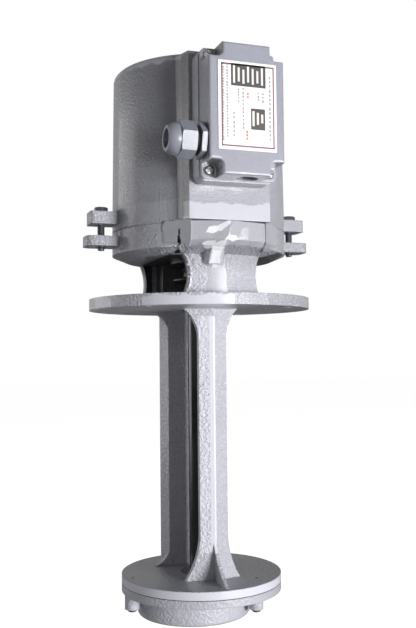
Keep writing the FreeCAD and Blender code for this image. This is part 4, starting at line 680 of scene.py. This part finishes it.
def make_foot_screws():
    """The slotted screws that hold the casing from below."""
    made = bmesh.new()
    for reach, angle in CASING_SCREW_SPOTS:
        turn = math.radians(angle)
        origin = (reach * math.cos(turn), reach * math.sin(turn), CASING_SCREW_SEAT)
        pan_head(made, standing(origin, (0, 0, -1)), **CASING_SCREW)
    screws = from_mesh_code("foot_screws", made, MATERIALS["bolt_steel"])
    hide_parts("casing_screws")


def make_cover_screws():
    """The four cross-head screws of the terminal box's cover, each turned a little differently."""
    made = bmesh.new()
    for side in (-1, 1):
        for end in (-1, 1):
            origin = (side * LID_SCREW_SPOT[0], LID_SCREW_SEAT, BOX_LEVEL + end * LID_SCREW_SPOT[1])
            frame_matrix = standing(origin, (0, -1, 0)) @ Matrix.Rotation(0.4 + side * 0.7 + end, 4, "Z")
            pan_head(made, frame_matrix, **LID_SCREW)
    screws = from_mesh_code("cover_screws", made, MATERIALS["screw_steel"])
    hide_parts("lid_screws")


def make_gland_thread():
    """The threaded length between the gland's body and its nut, black partly for its own dark colour and
    partly as painted shade.
    """
    made = bmesh.new()
    rows = [(GLAND_THREAD_CORE, 0.05)] + thread_rows(**GLAND_THREAD) + [(GLAND_THREAD_CORE, 2.95)]
    rings(made, standing((GLAND_THREAD_START, GLAND_SPOT[0], GLAND_SPOT[1]), (-1, 0, 0)), rows, 64)
    from_mesh_code("gland_thread", made, MATERIALS["rubber_black"])


def print_border(bar):
    """A thin frame round the plate."""
    left, top, right, bottom = PRINT_BORDER
    across, down = BORDER_LINE
    bar("print_border", left, top, right, top + down)
    bar("print_border", left, bottom - down, right, bottom)
    bar("print_border", left, top, left + across, bottom)
    bar("print_border", right - across, top, right, bottom)


def print_panels(bar):
    """Two dark panels with light upright bars."""
    bar("print_dark", *UPPER_PANEL)
    for index in range(7):
        left = 0.255 + index * 0.08
        bar("print_light", left, 0.05 + 0.02 * (index % 3), left + 0.035, 0.25 - 0.02 * (index % 2), 2)
    bar("print_dark", *LOWER_PANEL)
    for index in range(3):
        left = 0.58 + index * 0.075
        bar("print_light", left, 0.55 + 0.015 * index, left + 0.037, 0.72 - 0.02 * index, 2)


def print_columns(bar):
    """Columns of small bars in place of words."""
    for column, (ink, across, start, end, count) in enumerate(PRINT_COLUMNS):
        pitch = (end - start) / count
        for index in range(count):
            share = 0.40 + 0.28 * ((index * 7 + column * 5) % 4) / 3
            begin = start + index * pitch
            bar(ink, across, begin, across + BAR_WIDTH, begin + pitch * share + 0.005)


def make_print():
    """The plate's generic print: a border, dark panels and plain bars in place of words."""
    low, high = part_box("nameplate")
    wide, tall = high[0] - low[0], high[2] - low[2]
    panels = {name: bmesh.new() for name in PRINT_COLOURS}

    def bar(ink, left, top, right, bottom, layer=1):
        """A flat bar of one ink, in shares of the plate."""
        level = low[1] - INK_THICKNESS * layer
        corners = [(left, bottom), (right, bottom), (right, top), (left, top)]
        points = [Vector((low[0] + across * wide, level, high[2] - down * tall)) for across, down in corners]
        panels[ink].faces.new([panels[ink].verts.new(point) for point in points])

    print_border(bar)
    print_panels(bar)
    print_columns(bar)
    for name, made in panels.items():
        ink = moulded(name, PRINT_COLOURS[name], 0.35, 900.0, 0.00001)
        from_mesh_code(name, made, ink, smooth=False)


def seen_from_front(name, across, up):
    """Where a casting's skin lies at this width and height, in millimetres, seen from the front."""
    piece = frame["nodes"][name]
    back = piece.matrix_world.inverted()
    start = back @ Vector((across * MM, -0.3, up * MM))
    found, place, _, _ = piece.ray_cast(start, back.to_3x3() @ Vector((0, 1, 0)))
    return (piece.matrix_world @ place).y / MM if found else None


def within(across, up, outline):
    """Whether a point lies inside an outline."""
    odd = False
    for (x1, z1), (x2, z2) in zip(outline, outline[1:] + outline[:1]):
        if (z1 > up) != (z2 > up) and across < (x2 - x1) * (up - z1) / (z2 - z1) + x1:
            odd = not odd
    return odd


def to_line(across, up, line):
    """How far a point is from a line of points."""
    best = 1000.0
    for (x1, z1), (x2, z2) in zip(line, line[1:]):
        along, rise = x2 - x1, z2 - z1
        share = max(0.0, min(1.0, ((across - x1) * along + (up - z1) * rise) / (along ** 2 + rise ** 2)))
        best = min(best, math.hypot(across - x1 - share * along, up - z1 - share * rise))
    return best


def brow_dome(across, up):
    """How far the low dome of the brow stands out."""
    wide = (across - DOME_CENTRE[0]) / DOME_HALF[0]
    tall = (up - DOME_CENTRE[1]) / DOME_HALF[1]
    return DOME_HEIGHT - DOME_FALL[0] * wide ** 2 - DOME_FALL[1] * tall ** 2


def brow_rise(across, up):
    """The ground facets of the brow: flat cuts that touch the dome, with a ridge down to the nose."""
    rise = 10.0
    for x, z in BROW_CUTS:
        lean_x = -2 * DOME_FALL[0] * (x - DOME_CENTRE[0]) / DOME_HALF[0] ** 2
        lean_z = -2 * DOME_FALL[1] * (z - DOME_CENTRE[1]) / DOME_HALF[1] ** 2
        rise = min(rise, brow_dome(x, z) + lean_x * (across - x) + lean_z * (up - z))
    ridge = RIDGE_FOOT[0] + (up - RIDGE_FOOT[1]) * RIDGE_LEAN
    return max(rise, 0.1) + RIDGE_HEIGHT * max(0.0, 1 - abs(across - ridge) / RIDGE_HALF)


def brow_margin(across, up):
    """How far inside the brow's border a point lies, with a steeper count at its foot and top."""
    foot = BROW_LEFT_FOOT if across < BROW_LEFT_FOOT_END else BROW_FOOT
    return min(across - BROW_SIDES[0], BROW_SIDES[1] - across, (up - foot) * 1.2, (BROW_TOP - up) * 3.0)


def nose_gap(across, up):
    """How far a point lies outside the nose's front."""
    return max(NOSE_SIDES[0] - across, across - NOSE_SIDES[1], NOSE_BOTTOM - up)


def brow_ground(across, up, skin):
    """The smooth form under the brow's cuts: the casting's skin, its flanks and the nose."""
    level = skin
    if abs(across) > FLANK_START:
        flank = FLANK_CORNER[1] + (abs(across) - FLANK_CORNER[0]) * FLANK_SLOPE
        level = min(skin, flank + max(0.0, FLANK_FOOT - up) * FLANK_FOOT_SLOPE)
    gap = nose_gap(across, up)
    if up < NOSE_TOP and gap < NOSE_FLARE:
        nose = seen_from_front("pump_column", NOSE_MIDDLE, up)
        level = min(level, nose + max(0.0, gap) * NOSE_SLOPE)
    return level


def brow_point(across, up):
    """A point of the brow's skin, with whether it is torn and whether it is bright."""
    skin = seen_from_front("pump_column", across, up)
    if skin is None or skin > BROW_BACK:
        return None
    shake = lumps.noise(Vector((across * 0.33, up * 0.33, 0.0)))
    margin = brow_margin(across, up) + 1.6 * shake
    if up < NOSE_TOP and nose_gap(across, up) < NOSE_FLARE:
        margin = max(margin, 3.0 - nose_gap(across, up))
    fade = min(1.0, max(0.0, (-BROW_LEFT - abs(across)) / 7))
    level = brow_ground(across, up, skin)
    level -= brow_rise(across, up) * fade if up > 42 else 0.3
    level -= 0.12 * lumps.noise(Vector((across, up, 5.0)))
    half = TEAR_HALF + (TEAR_TOP - up) * TEAR_WIDENING
    torn = to_line(across, up, BROW_TEAR) + 0.5 * shake < half
    if torn:
        level += TEAR_DEPTH
    if margin < 0:
        level = skin + 0.6
    bright = margin > 0 and any(within(across + 1.2 * shake, up + shake, fleck) for fleck in BROW_FLECKS)
    return across, level, up, torn, bright


def brow_kind(ring):
    """Which piece a small face of the brow belongs to."""
    if sum(torn for _, _, _, torn, _ in ring) > 1:
        return "brow_tear_shade"
    if sum(bright for _, _, _, _, bright in ring) > 2:
        return "brow_bare_and_highlit"
    return "brow_skin"


def make_brow():
    """The uneven ground skin of the bracket's brow, its bright flecks, painted lighter partly as bare ground
    metal and partly as painted highlight, and the tear beside it, painted black as painted shade.
    """
    columns, rows = BROW_COUNTS
    points = []
    for row in range(rows + 1):
        up = BROW_BOTTOM + row * BROW_PITCH[1]
        points.append([brow_point(BROW_LEFT + column * BROW_PITCH[0], up) for column in range(columns + 1)])
    kinds = {kind: bmesh.new() for kind in BROW_FINISHES}
    for low_row, high_row in zip(points, points[1:]):
        for index in range(columns):
            ring = (low_row[index], low_row[index + 1], high_row[index + 1], high_row[index])
            if None in ring:
                continue
            made = kinds[brow_kind(ring)]
            made.faces.new([made.verts.new(Vector(point[:3]) * MM) for point in ring])
    for kind, made in kinds.items():
        from_mesh_code(kind, made, MATERIALS[BROW_FINISHES[kind]])


def torn_section(up):
    """The ragged edge's section at one height: points across and away, in millimetres."""
    edge, end = TORN_SEARCH
    while edge < end and (seen_from_front("pump_column", edge, up) or 0) > TORN_BACK:
        edge += 0.1
    skin = seen_from_front("pump_column", edge + 0.6, up)
    shake = lumps.noise(Vector((up * 0.55, 2.0, 0.0))) + 0.6 * lumps.noise(Vector((up * 1.4, 7.0, 0.0)))
    reach = 0.7 + max(-0.4, 3.2 * shake)
    return (
        (edge + 2.6, skin + 0.5),
        (edge + 1.6, skin - 0.35 - 0.3 * shake),
        (edge, skin - 0.3),
        (edge - reach, skin + 0.9),
        (edge - reach * 0.6, skin + 3.0),
        (edge + 1.0, skin + 5.0),
    )


def make_torn_edge():
    """The ragged edge of the casting down the left of the front arm."""
    made = bmesh.new()
    rows = []
    for index in range(TORN_ROWS):
        up = TORN_BOTTOM + index * TORN_STEP
        rows.append([made.verts.new(Vector((across, away, up)) * MM) for across, away in torn_section(up)])
    for first, second in zip(rows, rows[1:]):
        for index in range(len(first) - 1):
            made.faces.new((first[index], first[index + 1], second[index + 1], second[index]))
    from_mesh_code("torn_edge", made, MATERIALS["column_paint"])


def turn_about_z(degrees):
    """A turn about the upright axis."""
    return Matrix.Rotation(math.radians(degrees), 3, "Z")


def make_camera():
    """The eye of the photograph, turned about the shaft axis so that the front faces right."""
    pitch = Matrix.Rotation(math.radians(PITCH), 3, "X")
    roll = Matrix.Rotation(math.radians(ROLL), 3, "Y")
    right, ahead, above = (turn_about_z(-FRONT_TURN) @ turn_about_z(YAW) @ pitch @ roll).col
    turned = Matrix((right, above, -ahead)).transposed().to_4x4()
    data = bpy.data.cameras.new("view")
    data.sensor_width = SENSOR_MM
    data.lens = SENSOR_MM * FOCAL_LENGTH_PX / LONG_SIDE_PX
    camera = bpy.data.objects.new("view", data)
    camera.matrix_world = Matrix.Translation(turn_about_z(-FRONT_TURN) @ EYE) @ turned
    bpy.context.collection.objects.link(camera)
    bpy.context.scene.camera = camera


def area_light(name, start, aim, size, power):
    """A soft rectangular lamp that looks from one point to another, in the viewer's frame."""
    data = bpy.data.lights.new(name, "AREA")
    data.shape = "RECTANGLE"
    data.size, data.size_y = size
    data.energy = power
    lamp = bpy.data.objects.new(name, data)
    start = turn_about_z(-FRONT_TURN) @ Vector(start)
    aim = turn_about_z(-FRONT_TURN) @ Vector(aim)
    lamp.matrix_world = standing(start, start - aim)
    bpy.context.collection.objects.link(lamp)


def white_world():
    """A pale room: white to the eye, dimmer in reflections and dim as a light."""
    world = bpy.data.worlds.new("room")
    world.use_nodes = True
    bpy.context.scene.world = world
    tree = world.node_tree
    rays = add(tree, "ShaderNodeLightPath").outputs
    seen = maths(tree, "MAXIMUM", rays["Is Camera Ray"], rays["Is Transmission Ray"])
    reflected = maths(tree, "MULTIPLY", rays["Is Glossy Ray"], ROOM_IN_REFLECTIONS)
    strength = maths(tree, "MAXIMUM", maths(tree, "MAXIMUM", seen, reflected), ROOM_AS_LIGHT)
    feed(tree, tree.nodes["Background"].inputs["Strength"], strength)
    tree.nodes["Background"].inputs["Color"].default_value = (1, 1, 1, 1)


def make_floor():
    """A pale floor under the casing that stays white to the eye and keeps the shadow."""
    mesh = bpy.data.meshes.new("floor")
    half = FLOOR_HALF
    level = CAD_BOX[0][2] - FLOOR_GAP
    corners = [(-half, -half, level), (half, -half, level), (half, half, level), (-half, half, level)]
    mesh.from_pydata(corners, [], [(0, 1, 2, 3)])
    floor = bpy.data.objects.new("floor", mesh)
    bpy.context.collection.objects.link(floor)
    material, tree, shader = new_material("floor_white", Roughness=0.9)
    shader.inputs["Base Color"].default_value = (*FLOOR_WHITE, 1)
    rays = add(tree, "ShaderNodeLightPath").outputs
    glow = add(tree, "ShaderNodeEmission", {"Color": (1, 1, 1, 1)}, name="glow")
    feed(tree, glow.inputs["Strength"], maths(tree, "MULTIPLY", rays["Is Camera Ray"], FLOOR_GLOW))
    both = add(tree, "ShaderNodeAddShader", {0: shader.outputs[0], 1: glow.outputs[0]})
    feed(tree, tree.nodes["Material Output"].inputs["Surface"], both.outputs[0])
    mesh.materials.append(material)


dress_frame()
make_clamp_bolts()
make_foot_screws()
make_cover_screws()
make_gland_thread()
make_print()
make_brow()
make_torn_edge()
make_camera()
white_world()
make_floor()
for lamp_name, lamp_values in LAMPS.items():
    area_light(lamp_name, **lamp_values)

bpy.context.scene.view_settings.view_transform = "Standard"
